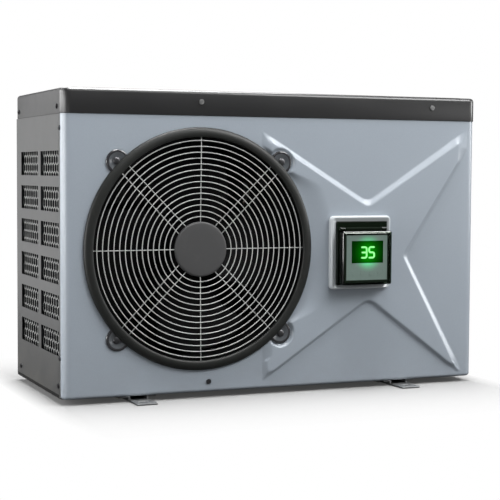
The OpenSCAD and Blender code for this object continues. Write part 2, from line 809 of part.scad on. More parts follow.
module motor_bearings() color([0.8, 0.8, 0.82]) at_fan()
  for (y = bearing_y) translate([0, 0, y]) difference() {
    cylinder(r = 11, h = 7);
    translate([0, 0, -1]) cylinder(r = 6.05, h = 9);
  }

// Blade as a grid of points on each face: steps from root to tip, and across
span_steps = 7;
chord_steps = 6;
blade_root = 38;
blade_half_thick = 1.15;
// face is -1 for the front face and 1 for the back face
function blade_point(i, j, face) =
  let (
    span = i / span_steps,
    chord = j / chord_steps,
    across = chord - 0.5,
    radius = blade_root + (fan_radius - blade_root) * span,
    skew = 22 * span * span - 8,
    bulge = (across < 0 ? 1 : 0.4) * 10 * span * -across,
    angle = skew + across * (78 - 14 * span) + bulge,
    camber = 20 * across * across * span,
    y = 50 + across * (blade_depth - 9 * span) + camber + face * blade_half_thick
  )
  [radius * cos(angle), y, radius * sin(angle)];
function blade_index(i, j) = i * (chord_steps + 1) + j;
module blade() {
  back = (span_steps + 1) * (chord_steps + 1); // index of the back face's first point
  polyhedron(
    points = [for (face = [-1, 1]) for (i = [0:span_steps]) for (j = [0:chord_steps])
      blade_point(i, j, face)],
    faces = concat(
      // front and back faces
      [for (i = [0:span_steps - 1]) for (j = [0:chord_steps - 1])
        let (a = blade_index(i, j), b = blade_index(i + 1, j))
        each concat(quad(a, b, b + 1, a + 1),
          quad(back + a, back + a + 1, back + b + 1, back + b))],
      // root and tip edges
      [for (j = [0:chord_steps - 1])
        let (a = blade_index(0, j), b = blade_index(span_steps, j))
        each concat(quad(a, a + 1, back + a + 1, back + a),
          quad(b + 1, b, back + b, back + b + 1))],
      // the two long edges
      [for (i = [0:span_steps - 1])
        let (
          a = blade_index(i, 0),
          b = blade_index(i + 1, 0),
          c = blade_index(i, chord_steps),
          d = blade_index(i + 1, chord_steps)
        )
        each concat(quad(b, a, back + a, back + b), quad(c, d, back + d, back + c))]
    ));
}

// Cup-shaped hub, its boss and the blades
module fan_blade() color([0.13, 0.13, 0.14]) translate([fan_x, 0, fan_z]) difference() {
  union() {
    rotate([-90, 0, 0]) difference() {
      translate([0, 0, 30]) cylinder(r = 42, h = 42, $fn = 64);
      translate([0, 0, 34]) cylinder(r = 37, h = 42, $fn = 64);
    }
    rotate([-90, 0, 0]) translate([0, 0, 24]) cylinder(r = 13, h = 40);
    for (a = [0:360 / fan_blades:359]) rotate([0, a, 0]) difference() {
      blade();
      rotate([-90, 0, 0]) cylinder(r = 40, h = 120, $fn = 64);
    }
  }
  rotate([-90, 0, 0]) cylinder(r = shaft_radius, h = 120);
}

module fan_nut() color([0.75, 0.75, 0.74]) at_fan() difference() {
  union() {
    translate([0, 0, 17.5]) cylinder(r = 7.5, h = 5, $fn = 6);
    translate([0, 0, 22.5]) cylinder(r = 9, h = 1.5);
  }
  translate([0, 0, 10]) cylinder(r = 4, h = 20);
}

// ---------------------------------------------------------------- refrigeration
compressor_radius = 52;
foot_z = 14; // underside of the compressor's foot plate
foot_thick = 3;
accumulator_x = 482;
accumulator_y = 72;
accumulator_radius = 27;

module compressor() color([0.07, 0.07, 0.08]) translate([compressor_x, compressor_y, 0]) {
  // three-armed foot plate
  difference() {
    translate([0, 0, foot_z]) linear_extrude(foot_thick) {
      circle(46);
      for (a = foot_angles) rotate(a) {
        translate([0, -9]) square([foot_radius, 18]);
        translate([foot_radius, 0]) circle(8.6);
      }
    }
    for (a = foot_angles) rotate(a) translate([foot_radius, 0, 10]) cylinder(r = 5.6, h = 10);
  }
  // shell from the bottom up
  translate([0, 0, 17]) cylinder(r1 = 40, r2 = compressor_radius, h = 16, $fn = 64);
  translate([0, 0, 33]) cylinder(r = compressor_radius, h = 182, $fn = 64);
  translate([0, 0, 215]) cylinder(r1 = compressor_radius, r2 = 42, h = 14, $fn = 64);
  translate([0, 0, 229]) cylinder(r1 = 42, r2 = 20, h = 6, $fn = 64);
  translate([0, 0, 235]) cylinder(r = 14, h = 9);
  translate([22, 6, 225]) cylinder(r = 15, h = 22);
}

module compressor_grommets() color([0.05, 0.05, 0.05])
  for (f = foot_spots) translate([f[0], f[1], 0]) difference() {
    union() {
      translate([0, 0, pan_sheet]) cylinder(r = 8.4, h = foot_z - pan_sheet);
      translate([0, 0, foot_z]) cylinder(r = 5.55, h = foot_thick);
      translate([0, 0, foot_z + foot_thick]) cylinder(r = 7.5, h = 4);
    }
    cylinder(r = 3.05, h = 30);
  }

module accumulator() color([0.08, 0.08, 0.09]) translate([accumulator_x, accumulator_y, 0]) {
  translate([0, 0, 30]) cylinder(r1 = 18, r2 = accumulator_radius, h = 9);
  translate([0, 0, 39]) cylinder(r = accumulator_radius, h = 101);
  translate([0, 0, 140]) cylinder(r1 = accumulator_radius, r2 = 12, h = 8);
  translate([-14, -8, pan_sheet]) cube([28, 16, 30]);
}

// L-shaped air coil along the left side and the rear
tube_pitch = 50;
tube_z = [for (i = [0:7]) 42 + tube_pitch * i];
tube_radius = 4.75;
tube_hole_radius = 4.85;
tube_bend = 22;
leg_x = 27; // tube line along the left side
leg_y = rear - 24; // tube line along the rear
coil_front = 46; // front end of the tubes
coil_right = 405; // right end of the tubes
fin_bend = [49, rear - 46.1]; // centre of the fin block's corner
fin_outer = 35;
fin_inner = 9;
fin_depth = fin_outer - fin_inner;
fin_front = coil_front + 0.1;

module coil_leg(z, radius)
  tube_path([[coil_right, leg_y, z], [leg_x, leg_y, z], [leg_x, coil_front, z]],
    radius, tube_bend);

module evaporator_fins() color([0.1, 0.11, 0.12]) difference() {
  translate([0, 0, 6]) linear_extrude(426) {
    translate([fin_bend[0] - fin_outer, fin_front]) square([fin_depth, fin_bend[1] - fin_front]);
    translate([fin_bend[0], fin_bend[1] + fin_inner]) square([355.9, fin_depth]);
    intersection() {
      translate(fin_bend) difference() {
        circle(fin_outer);
        circle(fin_inner);
      }
      translate([fin_bend[0] - fin_outer, fin_bend[1]]) square([fin_outer, 35.1]);
    }
  }
  for (z = tube_z) coil_leg(z, tube_hole_radius);
}

// U bend joining the tube at origin's height to the next one up
module return_bend(origin, out)
  frame(origin + [0, 0, tube_pitch / 2], [0, 0, -1], out)
    rotate_extrude(angle = 180) translate([tube_pitch / 2, 0]) circle(tube_radius);

module evaporator_tubes() color([0.72, 0.42, 0.24]) {
  for (z = tube_z) coil_leg(z, tube_radius);
  for (i = [0:2:6]) return_bend([leg_x, coil_front, tube_z[i]], [0, -1, 0]);
  for (i = [1:2:5]) return_bend([coil_right, leg_y, tube_z[i]], [1, 0, 0]);
  for (z = [tube_z[0], tube_z[7]])
    rod([coil_right, leg_y, z], [coil_right + 7, leg_y, z], tube_radius);
}

module coil_end_plates() color([0.7, 0.71, 0.72]) {
  difference() {
    box([coil_right, rear - 40, 2], [coil_right + 1.2, rear - 8, 434]);
    for (z = tube_z) rod_x(leg_y, z, 400, 412, tube_hole_radius);
  }
  difference() {
    box([12, fin_front - 1.2, 2], [42, fin_front, 434]);
    for (z = tube_z) rod_y(leg_x, z, 40, 50, tube_hole_radius);
  }
}

valve_x = 505;
valve_y = 232;
valve_z = 300;
valve_port = 23; // spacing of the three lower ports
drier_x = 462;
drier_y = 110;
// Exchanger stubs stand this far from its axis, on opposite sides
stub_x = 20;
stub_y = 14;

module reversing_valve() color([0.72, 0.5, 0.28]) {
  rod_x(valve_y, valve_z, valve_x - 45, valve_x + 45, 12);
  rod_x(valve_y, valve_z, valve_x - 52, valve_x - 45, 9);
  rod_z(valve_x, valve_y, 306, 328, 6);
  for (i = [-1:1]) rod_z(valve_x + valve_port * i, valve_y, 276, 294, 6.8);
  // stem and box behind the body
  rod_y(valve_x, valve_z, valve_y + 8, 262, 4);
  box([valve_x - 15, 258, valve_z - 10], [valve_x + 15, 278, valve_z + 10]);
}

// Each pipe stops 0.05 short of the parts it joins
module refrigerant_pipes() color([0.74, 0.44, 0.25]) {
  left_port_x = valve_x - valve_port;
  right_port_x = valve_x + valve_port;
  port_end = 275.95;
  coil_end = coil_right + 7.05;
  stub_top = 338.05;
  gas_stub = [exchanger_x - stub_x, exchanger_y + stub_y];
  liquid_stub = [exchanger_x + stub_x, exchanger_y - stub_y];
  // discharge: compressor top to the top port of the valve
  tube_path([
    [compressor_x, compressor_y, 244.05], [compressor_x, compressor_y, 344],
    [compressor_x, valve_y, 344], [compressor_x, valve_y, 328.05]
  ], 5, 8);
  // suction: middle lower port to the accumulator
  tube_path([
    [valve_x, valve_y, port_end], [valve_x, valve_y, 255], [accumulator_x, valve_y, 255],
    [accumulator_x, accumulator_y, 255], [accumulator_x, accumulator_y, 148.05]
  ], 6, 8);
  // gas line: left lower port to the bottom of the air coil
  tube_path([
    [left_port_x, valve_y, port_end], [left_port_x, valve_y, 268], [drier_x, valve_y, 268],
    [drier_x, 248, 268], [drier_x, 248, 60], [430, 248, 60], [430, leg_y, 60],
    [430, leg_y, 42], [coil_end, leg_y, 42]
  ], 4, 6);
  // gas line: right lower port to the water coil
  tube_path([
    [right_port_x, valve_y, port_end], [right_port_x, valve_y, 255],
    [gas_stub[0], valve_y, 255], [gas_stub[0], valve_y, 351],
    [gas_stub[0], gas_stub[1], 351], [gas_stub[0], gas_stub[1], stub_top]
  ], 5, 8);
  // liquid line: water coil to the drier
  tube_path([
    [liquid_stub[0], liquid_stub[1], stub_top], [liquid_stub[0], liquid_stub[1], 351],
    [liquid_stub[0], 60, 351], [drier_x, 60, 351],
    [drier_x, drier_y, 351], [drier_x, drier_y, 332.05]
  ], 4, 8);
  // liquid line: drier to the top of the air coil
  tube_path([
    [drier_x, drier_y, 227.95], [drier_x, drier_y, 212], [430, drier_y, 212],
    [430, drier_y, 392], [430, leg_y, 392], [coil_end, leg_y, 392]
  ], 3, 8);
}

module filter_drier() color([0.74, 0.44, 0.25]) {
  rod_z(drier_x, drier_y, 322, 332, 4.2);
  rod_z(drier_x, drier_y, 240, 322, 9);
  rod_z(drier_x, drier_y, 228, 240, 4.2);
}

// ---------------------------------------------------------------- water side
module exchanger_shell() color([0.1, 0.1, 0.11])
  translate([exchanger_x, exchanger_y, 0]) difference() {
    union() {
      translate([0, 0, pan_sheet]) cylinder(r = 56, h = 20, $fn = 64);
      translate([0, 0, 15]) cylinder(r = exchanger_radius, h = 308, $fn = 64);
      translate([0, 0, 323]) cylinder(r1 = exchanger_radius, r2 = 50, h = 12, $fn = 64);
      for (z = [20, 311])
        translate([0, 0, z]) cylinder(r = exchanger_radius + 4, h = 8, $fn = 64);
    }
    translate([0, 0, 19]) cylinder(r = exchanger_radius - 4, h = 302, $fn = 64);
    translate([0, 0, pan_sheet - 1]) cylinder(r = 50, h = 14, $fn = 64);
    for (z = port_z) translate([40, 0, z]) rotate([0, 90, 0]) cylinder(r = 27.05, h = 60);
    for (s = [-1, 1]) translate([stub_x * s, -stub_y * s, 300]) cylinder(r = 6.2, h = 60);
  }

// Titanium coil: a helix of hexagonal section, with a round tail at each end
coil_radius = 44;
coil_tube = 5;
coil_bottom = 92;
coil_height = 176;
coil_pitch = coil_height / coil_turns;
turn_steps = 20;
coil_sides = 6;
function coil_point(i, j) =
  let (angle = 360 * i / turn_steps, radius = coil_radius + coil_tube * cos(60 * j))
  [radius * cos(angle), radius * sin(angle),
    coil_bottom + coil_pitch * i / turn_steps + coil_tube * sin(60 * j)];

// side is -1 for the lower tail and 1 for the upper one
module coil_tail(side, z)
  tube_path([
    [coil_radius, side * 0.05, z], [coil_radius, side * stub_y, z],
    [-side * stub_x, side * stub_y, z], [-side * stub_x, side * stub_y, 338]
  ], 4.6, 6.9);

module titanium_coil() color([0.62, 0.6, 0.58]) translate([exchanger_x, exchanger_y, 0]) {
  steps = turn_steps * coil_turns;
  last = steps * coil_sides; // index of the last section's first point
  polyhedron(
    points = [for (i = [0:steps]) for (j = [0:coil_sides - 1]) coil_point(i, j)],
    faces = concat(
      [for (j = [1:coil_sides - 2]) [j + 1, j, 0]],
      [for (j = [1:coil_sides - 2]) [last + j, last + j + 1, last]],
      [for (i = [0:steps - 1]) for (j = [0:coil_sides - 1])
        let (a = i * coil_sides, b = a + coil_sides, k = (j + 1) % coil_sides)
        each quad(b + j, b + k, a + k, a + j)]
    ));
  coil_tail(-1, coil_bottom);
  coil_tail(1, coil_bottom + coil_height);
}

collar_radius = 33;
collar_x = right + 14; // where a port meets its tailpiece
water_bore = 22;
switch_x = right - 19;
pivot_z = outlet_z + 18.4; // hinge of the flow paddle

module port(z) difference() {
  union() {
    rod_x(exchanger_y, z, exchanger_x + 56, collar_x, 27);
    rod_x(exchanger_y, z, right + 0.5, collar_x, collar_radius);
  }
  rod_x(exchanger_y, z, exchanger_x + 40, right + 20, water_bore);
}
module water_ports() color([0.1, 0.1, 0.11]) difference() {
  union() {
    port(inlet_z);
    port(outlet_z);
  }
  rod_z(switch_x, exchanger_y, outlet_z + 10, outlet_z + 40, 9.05);
}

module tailpiece(z) {
  end = right + 48;
  difference() {
    union() {
      rod_x(exchanger_y, z, collar_x, collar_x + 4, collar_radius);
      rod_x(exchanger_y, z, collar_x, end, 30);
    }
    rod_x(exchanger_y, z, end - socket_depth, end + 2, socket_bore);
    rod_x(exchanger_y, z, right + 10, end + 2, water_bore);
  }
}
module inlet_tailpiece() color([0.9, 0.9, 0.9]) tailpiece(inlet_z);
module outlet_tailpiece() color([0.9, 0.9, 0.9]) tailpiece(outlet_z);

// Nuts with rounded grip ribs
module union_nuts() color([0.12, 0.12, 0.13]) for (z = port_z) difference() {
  union() {
    rod_x(exchanger_y, z, right + 2, right + 26, 38);
    translate([right + 2, exchanger_y, z]) rotate([0, 90, 0])
      for (a = [0:20:340]) rotate(a) translate([37.6, 0, 0])
        cylinder(r = 2.6, h = 24, $fn = 16);
  }
  rod_x(exchanger_y, z, right, right + 18, 33.08);
  rod_x(exchanger_y, z, right, right + 30, 30.4);
}

module flow_switch() color([0.85, 0.85, 0.83]) difference() {
  union() {
    rod_z(switch_x, exchanger_y, outlet_z + 21.9, outlet_z + 46, 9);
    box([switch_x - 12, exchanger_y - 14, outlet_z + 46],
      [switch_x + 12, exchanger_y + 14, outlet_z + 54.5]);
    // pivot lugs
    for (s = [-1, 1])
      translate([switch_x - 3, exchanger_y + s * 5 - 1, pivot_z - 3]) cube([6, 2, 8]);
  }
  translate([switch_x, exchanger_y - 10, pivot_z]) rotate([-90, 0, 0])
    cylinder(r = 1.06, h = 20);
}

// Pivot pin, hub, arm and blade
module flow_paddle() color([0.5, 0.5, 0.5]) {
  hub = 3.6;
  rod_y(switch_x, pivot_z, exchanger_y - 6, exchanger_y + 6, 1);
  rod_y(switch_x, pivot_z, exchanger_y - hub, exchanger_y + hub, 2);
  for (p = [[hub, 0], [8, -16]]) // half width, top below the pivot
    box([switch_x - 0.75, exchanger_y - p[0], pivot_z - 31],
      [switch_x + 0.75, exchanger_y + p[0], pivot_z + p[1]]);
}

// ---------------------------------------------------------------- electrics
box_left = partition_x + 1.3;
box_right = right - 2 * sheet - 0.1;
box_front = 26;
box_rear = rear - 22;
box_wall = 1.5;
box_top = box_z + 70;
board_top = box_z + 10.6;

module electrical_box() color([0.68, 0.69, 0.7]) difference() {
  box([box_left, box_front, box_z], [box_right, box_rear, box_top]);
  box([box_left + box_wall, box_front + box_wall, box_z + box_wall],
    [box_right - box_wall, box_rear - box_wall, box_top + 10]);
  rod_x(gland_y, gland_z, right - 10, right + 5, 10.2);
  rod_z(partition_x + 40, 60, box_z - 2, box_z + 4, 9);
}

module electrical_cover() color([0.68, 0.69, 0.7]) difference() {
  box([box_left, box_front, box_top], [box_right, box_rear, box_top + 1.2]);
  for (i = [0:7])
    translate([partition_x + 60 + 20 * i, 120, box_top - 10]) cube([6, 80, 20]);
}

module main_board() color([0.05, 0.32, 0.12]) {
  for (x = [480, 680]) for (y = [60, rear - 60])
    rod_z(x, y, box_z + box_wall, box_z + 9, 3);
  box([470, 48, box_z + 9], [right - 40, rear - 48, board_top]);
  // two round and six square-cornered components
  rod_z(505, 100, board_top, box_z + 52, 16);
  rod_z(505, 150, board_top, box_z + 46, 13);
  for (i = [0:4]) box([560 + 22 * i, 195, board_top], [576 + 22 * i, 215, box_z + 28]);
  box([560, 70, board_top], [640, 120, box_z + 34]);
  // terminal block
  difference() {
    box([right - 68, 60, board_top], [right - 44, 150, box_z + 32]);
    for (i = [0:5]) rod_z(right - 56, 68 + 15 * i, box_z + 22, box_z + 40, 3);
  }
}

module cable_gland() color([0.08, 0.08, 0.08])
  translate([0, gland_y, gland_z]) rotate([0, 90, 0]) difference() {
    union() {
      translate([0, 0, right - 12]) cylinder(r = 9.9, h = 14);
      translate([0, 0, right - 8]) cylinder(r = 13.5, h = 3.8, $fn = 6);
      translate([0, 0, right]) cylinder(r = 14, h = 5, $fn = 6);
      translate([0, 0, right + 5]) cylinder(r = 12, h = 9);
      translate([0, 0, right + 14]) cylinder(r1 = 12, r2 = 8.5, h = 6);
    }
    translate([0, 0, right - 14]) cylinder(r = 6.1, h = 40);
  }

translate([-(rail_x[0] + rail_x[1]) / 2, -origin_y, -floor_z]) {
  base_pan();
  foot_rail_left();
  foot_rail_right();
  foot_bolts();
  front_panel();
  top_cover();
  left_side_panel();
  side_grille();
  right_side_panel();
  rear_panel();
  rear_coil_guard();
  partition_plate();
  casing_screws();
  guard_ring();
  guard_wires();
  guard_cap();
  guard_screws();
  display_frame();
  display_housing();
  controller_body();
  controller_face();
  led_window();
  led_digits();
  controller_pcb();
  display_cover();
  key_power();
  key_mode();
  key_up();
  key_down();
  fan_shroud();
  motor_bracket();
  motor_front_shell();
  motor_rear_shell();
  motor_stator();
  motor_rotor();
  motor_shaft();
  motor_bearings();
  fan_blade();
  fan_nut();
  compressor();
  compressor_grommets();
  accumulator();
  evaporator_fins();
  evaporator_tubes();
  coil_end_plates();
  reversing_valve();
  refrigerant_pipes();
  filter_drier();
  exchanger_shell();
  titanium_coil();
  water_ports();
  inlet_tailpiece();
  outlet_tailpiece();
  union_nuts();
  flow_switch();
  flow_paddle();
  electrical_box();
  electrical_cover();
  main_board();
  cable_gland();
}
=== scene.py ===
"""An evaporator unit in a box-shaped sheet-metal casing, with a fan guard and a small display.

Lengths are casing millimetres: x runs right along the front, y runs back from the front face
(y = 0) and z runs up from the casing's lower edge. place() turns them into scene metres.
Materials, the lights and the floor are set out in scene metres.
"""
import bmesh
import bpy
import json
import math
import numpy as np
from collections import Counter
from mathutils import Vector, Matrix

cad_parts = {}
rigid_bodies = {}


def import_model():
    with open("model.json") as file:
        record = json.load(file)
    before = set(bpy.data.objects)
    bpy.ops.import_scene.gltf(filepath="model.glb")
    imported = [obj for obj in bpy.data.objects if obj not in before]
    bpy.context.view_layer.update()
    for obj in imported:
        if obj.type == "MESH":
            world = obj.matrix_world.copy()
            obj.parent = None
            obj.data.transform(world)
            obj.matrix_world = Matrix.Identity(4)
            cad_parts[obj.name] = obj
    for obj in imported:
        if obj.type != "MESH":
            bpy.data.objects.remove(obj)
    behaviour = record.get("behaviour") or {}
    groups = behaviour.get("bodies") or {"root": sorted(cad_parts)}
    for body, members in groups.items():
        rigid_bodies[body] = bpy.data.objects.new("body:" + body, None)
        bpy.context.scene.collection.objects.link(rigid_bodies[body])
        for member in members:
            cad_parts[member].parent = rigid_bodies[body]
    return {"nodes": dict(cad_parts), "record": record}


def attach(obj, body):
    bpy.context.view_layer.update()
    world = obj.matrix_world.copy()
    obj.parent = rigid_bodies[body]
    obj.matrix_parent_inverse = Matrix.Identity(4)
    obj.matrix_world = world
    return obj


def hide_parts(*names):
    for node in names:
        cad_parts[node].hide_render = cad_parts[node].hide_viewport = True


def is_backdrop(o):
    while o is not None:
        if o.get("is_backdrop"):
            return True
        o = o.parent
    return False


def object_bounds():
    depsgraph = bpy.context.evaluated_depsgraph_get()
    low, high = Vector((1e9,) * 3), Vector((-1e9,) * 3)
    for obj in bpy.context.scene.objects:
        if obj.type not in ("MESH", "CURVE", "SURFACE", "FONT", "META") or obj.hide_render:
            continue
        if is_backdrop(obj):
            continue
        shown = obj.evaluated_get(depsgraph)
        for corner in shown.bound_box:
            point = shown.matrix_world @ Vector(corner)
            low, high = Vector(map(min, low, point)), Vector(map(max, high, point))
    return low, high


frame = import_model()
size_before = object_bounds()
nodes = frame["nodes"]

WIDTH, DEPTH = 733.0, 299.0
CORNER = 14.0                                   # radius of the casing's upright corners
ORIGIN_X, ORIGIN_Y, LIFT = 358.5, 149.5, 9.0    # scene origin in the casing, height off the floor
FAN_X, FAN_Z = 226.0, 230.0                     # fan axis, which runs along y
PRESS = 4.5                                     # how far the pressed area stands out in front
GUARD_INNER, HUB_RADIUS = 178.5, 44.0           # guard rim's inner radius, hub cap's radius
EAR_CIRCLE = 196.0                              # circle that the guard's four ears lie on
EAR_ANGLES = [math.radians(degrees) for degrees in (45, 135, 225, 315)]
DIGITS_X, DIGITS_Z = 511.5, 220.7               # middle of the green light round the digits
LABEL_X, LABEL_Z = (471.2, 547.2), (175.4, 250.0)     # lit field of the display label
WINDOW_X, WINDOW_Z = (466.0, 550.0), (172.0, 267.0)   # display opening in the front sheet
WHITE = (1, 1, 1, 1)


def place(x, y, z):
    """Casing millimetres to scene metres."""
    return ((x - ORIGIN_X) / 1000.0, (y - ORIGIN_Y) / 1000.0, (z + LIFT) / 1000.0)


def around_fan(radius, angle):
    """The x, z point at a radius and angle about the fan axis."""
    return FAN_X + radius * math.cos(angle), FAN_Z + radius * math.sin(angle)


def at_fan_radius(x, z, radius):
    """Move a point straight in or out to a radius from the fan axis."""
    scale = radius / math.hypot(x - FAN_X, z - FAN_Z)
    return FAN_X + (x - FAN_X) * scale, FAN_Z + (z - FAN_Z) * scale


# ------------------------------------------------------------------ node trees
materials = {}


def is_socket(value):
    return hasattr(value, "is_output")


def shade(colour, factor):
    return tuple(min(1.0, max(0.0, part * factor)) for part in colour)


class Tree:
    """Short calls for building the node tree of a material or world."""

    def __init__(self, owner, output, coords):
        owner.use_nodes = True
        self.tree = owner.node_tree
        self.tree.nodes.clear()
        self.output = self.node(output)
        self.coords = self.node("TexCoord").outputs[coords]

    def node(self, kind, inputs=None, **props):
        """Add a node; inputs maps socket names or numbers to values or other sockets."""
        node = self.tree.nodes.new("ShaderNode" + kind)
        for key, value in props.items():
            setattr(node, key, value)
        for key, value in (inputs or {}).items():
            if is_socket(value):
                self.tree.links.new(value, node.inputs[key])
            else:
                node.inputs[key].default_value = value
        return node

    def add(self, kind, inputs=None, **props):
        """Add a node and give back its first output."""
        return self.node(kind, inputs, **props).outputs[0]

    def noise(self, scale, detail=3.0, rough=0.5, stretch=None, distortion=0.0):
        vector = self.coords
        if stretch is not None:
            vector = self.add("Mapping", {"Vector": vector, "Scale": stretch})
        return self.node("TexNoise", {"Vector": vector, "Scale": scale, "Detail": detail,
                                      "Roughness": rough, "Distortion": distortion}).outputs["Fac"]

    def ramp(self, value, over, to=(0.0, 1.0)):
        """Map the range 'over' to the range 'to', clamped."""
        return self.add("MapRange", {"Value": value, "From Min": over[0], "From Max": over[1],
                                     "To Min": to[0], "To Max": to[1]}, clamp=True)

    def mix(self, factor, first, second):
        """Mix two colours, given as sockets or RGB."""
        first, second = (c if is_socket(c) else (*c, 1.0) for c in (first, second))
        return self.node("Mix", {"Factor": factor, 6: first, 7: second},
                         data_type="RGBA").outputs[2]

    def vary(self, factor, colour, drift):
        """A colour that drifts darker and lighter by a fraction."""
        return self.mix(factor, shade(colour, 1 - drift), shade(colour, 1 + drift))

    def math(self, operation, first, second=0.0, clamp=False):
        return self.add("Math", {0: first, 1: second}, operation=operation, use_clamp=clamp)

    def raised(self, base, signal, gain, clamp=False):
        """base + gain * signal."""
        return self.math("ADD", base, self.math("MULTIPLY", signal, gain), clamp)

    def bump(self, height, distance, strength=1.0, normal=None):
        inputs = {"Strength": strength, "Distance": distance, "Height": height}
        if normal is not None:
            inputs["Normal"] = normal
        return self.add("Bump", inputs)

    def split(self, vector=None):
        """The X, Y and Z outputs of a vector, or of the coordinates."""
        return self.node("SeparateXYZ", {0: self.coords if vector is None else vector}).outputs

    def mix_shaders(self, factor, first, second):
        return self.add("MixShader", {0: factor, 1: first, 2: second})

    def camera_ray(self):
        return self.node("LightPath").outputs["Is Camera Ray"]

    def surface(self, shader):
        self.tree.links.new(shader, self.output.inputs["Surface"])


class Shader(Tree):
    """A new material in object coordinates, stored under its name."""

    def __init__(self, name):
        materials[name] = bpy.data.materials.new(name)
        super().__init__(materials[name], "OutputMaterial", "Object")

    def bsdf(self, **inputs):
        named = {key.replace("_", " "): value for key, value in inputs.items()}
        self.surface(self.add("BsdfPrincipled", named))


# ------------------------------------------------------------------ material families
def painted(name, colour, rough=0.42, drift=0.05, peel=0.00004, coat=0.0, wear=0.25, dirt=0.10,
            specular=0.5, flake=0.0):
    """Paint: slow colour drift, orange peel, rubbed edges, dust low down."""
    mat = Shader(name)
    tint = mat.vary(mat.noise(scale=9.0, rough=0.55), colour, drift)
    grain = mat.ramp(mat.noise(scale=900.0, detail=2), over=(0.35, 0.65), to=(0.0, 0.10 + flake))
    tint = mat.mix(grain, tint, shade(colour, 1.25))
    dust = mat.math("MULTIPLY", mat.ramp(mat.split()[2], over=(0.10, 0.0)),
                    mat.ramp(mat.noise(scale=34.0, detail=5, rough=0.65),
                             over=(0.38, 0.72), to=(0.0, dirt * 3)), clamp=True)
    tint = mat.mix(dust, tint, (0.20, 0.185, 0.16))
    if wear > 0:
        pointiness = mat.node("NewGeometry").outputs["Pointiness"]
        rubbed = mat.math("MULTIPLY", mat.ramp(pointiness, over=(0.53, 0.60)),
                          mat.ramp(mat.noise(scale=75.0, detail=5, rough=0.7),
                                   over=(0.50, 0.66), to=(0.0, wear)), clamp=True)
        tint = mat.mix(rubbed, tint, (0.55, 0.56, 0.57))
    streaks = mat.noise(scale=28.0, detail=7, rough=0.8, stretch=(0.35, 0.35, 4.0),
                        distortion=0.8)
    scuff = mat.ramp(streaks, over=(0.66, 0.80), to=(0.0, 0.06))
    tint = mat.mix(scuff, tint, (0.50, 0.51, 0.52))
    gloss = mat.raised(rough - 0.05, mat.noise(scale=16.0, detail=4, rough=0.6), gain=0.10)
    gloss = mat.raised(gloss, dust, gain=0.25, clamp=True)
    normal = mat.bump(mat.noise(scale=420.0, detail=2), distance=peel)
    normal = mat.bump(mat.noise(scale=5.0, detail=1, rough=0.4), distance=0.0004,
                      strength=0.35, normal=normal)
    mat.bsdf(Base_Color=tint, Roughness=gloss, Normal=normal, Coat_Weight=coat,
             Coat_Roughness=0.22, Specular_IOR_Level=specular)


def plastic(name, colour, rough=0.5, drift=0.06, grain=0.00003, grain_scale=700.0, coat=0.0,
            scratch=0.0, dust=0.06, specular=0.5):
    """Moulded plastic: fine spark texture, dust specks, scratches if asked for."""
    mat = Shader(name)
    tint = mat.vary(mat.noise(scale=14.0), colour, drift)
    speck = mat.ramp(mat.noise(scale=60.0, detail=6, rough=0.7), over=(0.52, 0.75), to=(0.0, dust))
    tint = mat.mix(speck, tint, (0.30, 0.29, 0.27))
    gloss = mat.raised(rough - 0.04, mat.noise(scale=45.0, detail=4, rough=0.65),
                       gain=0.09 + scratch, clamp=True)
    normal = mat.bump(mat.noise(scale=grain_scale, rough=0.6), distance=grain)
    if scratch:
        lines = mat.noise(scale=30.0, detail=6, rough=0.8, stretch=(1, 9, 40), distortion=1.5)
        normal = mat.bump(lines, distance=0.00003, strength=0.5, normal=normal)
    mat.bsdf(Base_Color=tint, Roughness=gloss, Normal=normal, Coat_Weight=coat,
             Coat_Roughness=0.06, Specular_IOR_Level=specular)


def metal(name, colour, rough=0.32, grain=(1, 1, 1), spangle=0.0, tarnish=None):
    """Bare metal: rolled or drawn grain, optional zinc spangle, optional tarnish colour."""
    mat = Shader(name)
    tint = mat.vary(mat.noise(scale=22.0, detail=4, rough=0.6), colour, drift=0.08)
    if spangle:
        cells = mat.node("TexVoronoi", {"Scale": 95.0, "Vector": mat.coords}).outputs["Color"]
        red = mat.add("SeparateColor", {0: cells})
        flakes = mat.ramp(red, over=(0.0, 1.0), to=(0.0, spangle))
        tint = mat.mix(flakes, tint, shade(colour, 1.5))
    if tarnish:
        stain = mat.ramp(mat.noise(scale=38.0, detail=6, rough=0.72),
                         over=(0.48, 0.70), to=(0.0, 0.75))
        tint = mat.mix(stain, tint, tarnish)
    gloss = mat.raised(rough - 0.06, mat.noise(scale=70.0, detail=5, rough=0.6, stretch=grain),
                       gain=0.16, clamp=True)
    normal = mat.bump(mat.noise(scale=260.0, detail=4, rough=0.6, stretch=grain),
                      distance=0.00002)
    mat.bsdf(Base_Color=tint, Roughness=gloss, Metallic=0.9, Normal=normal)


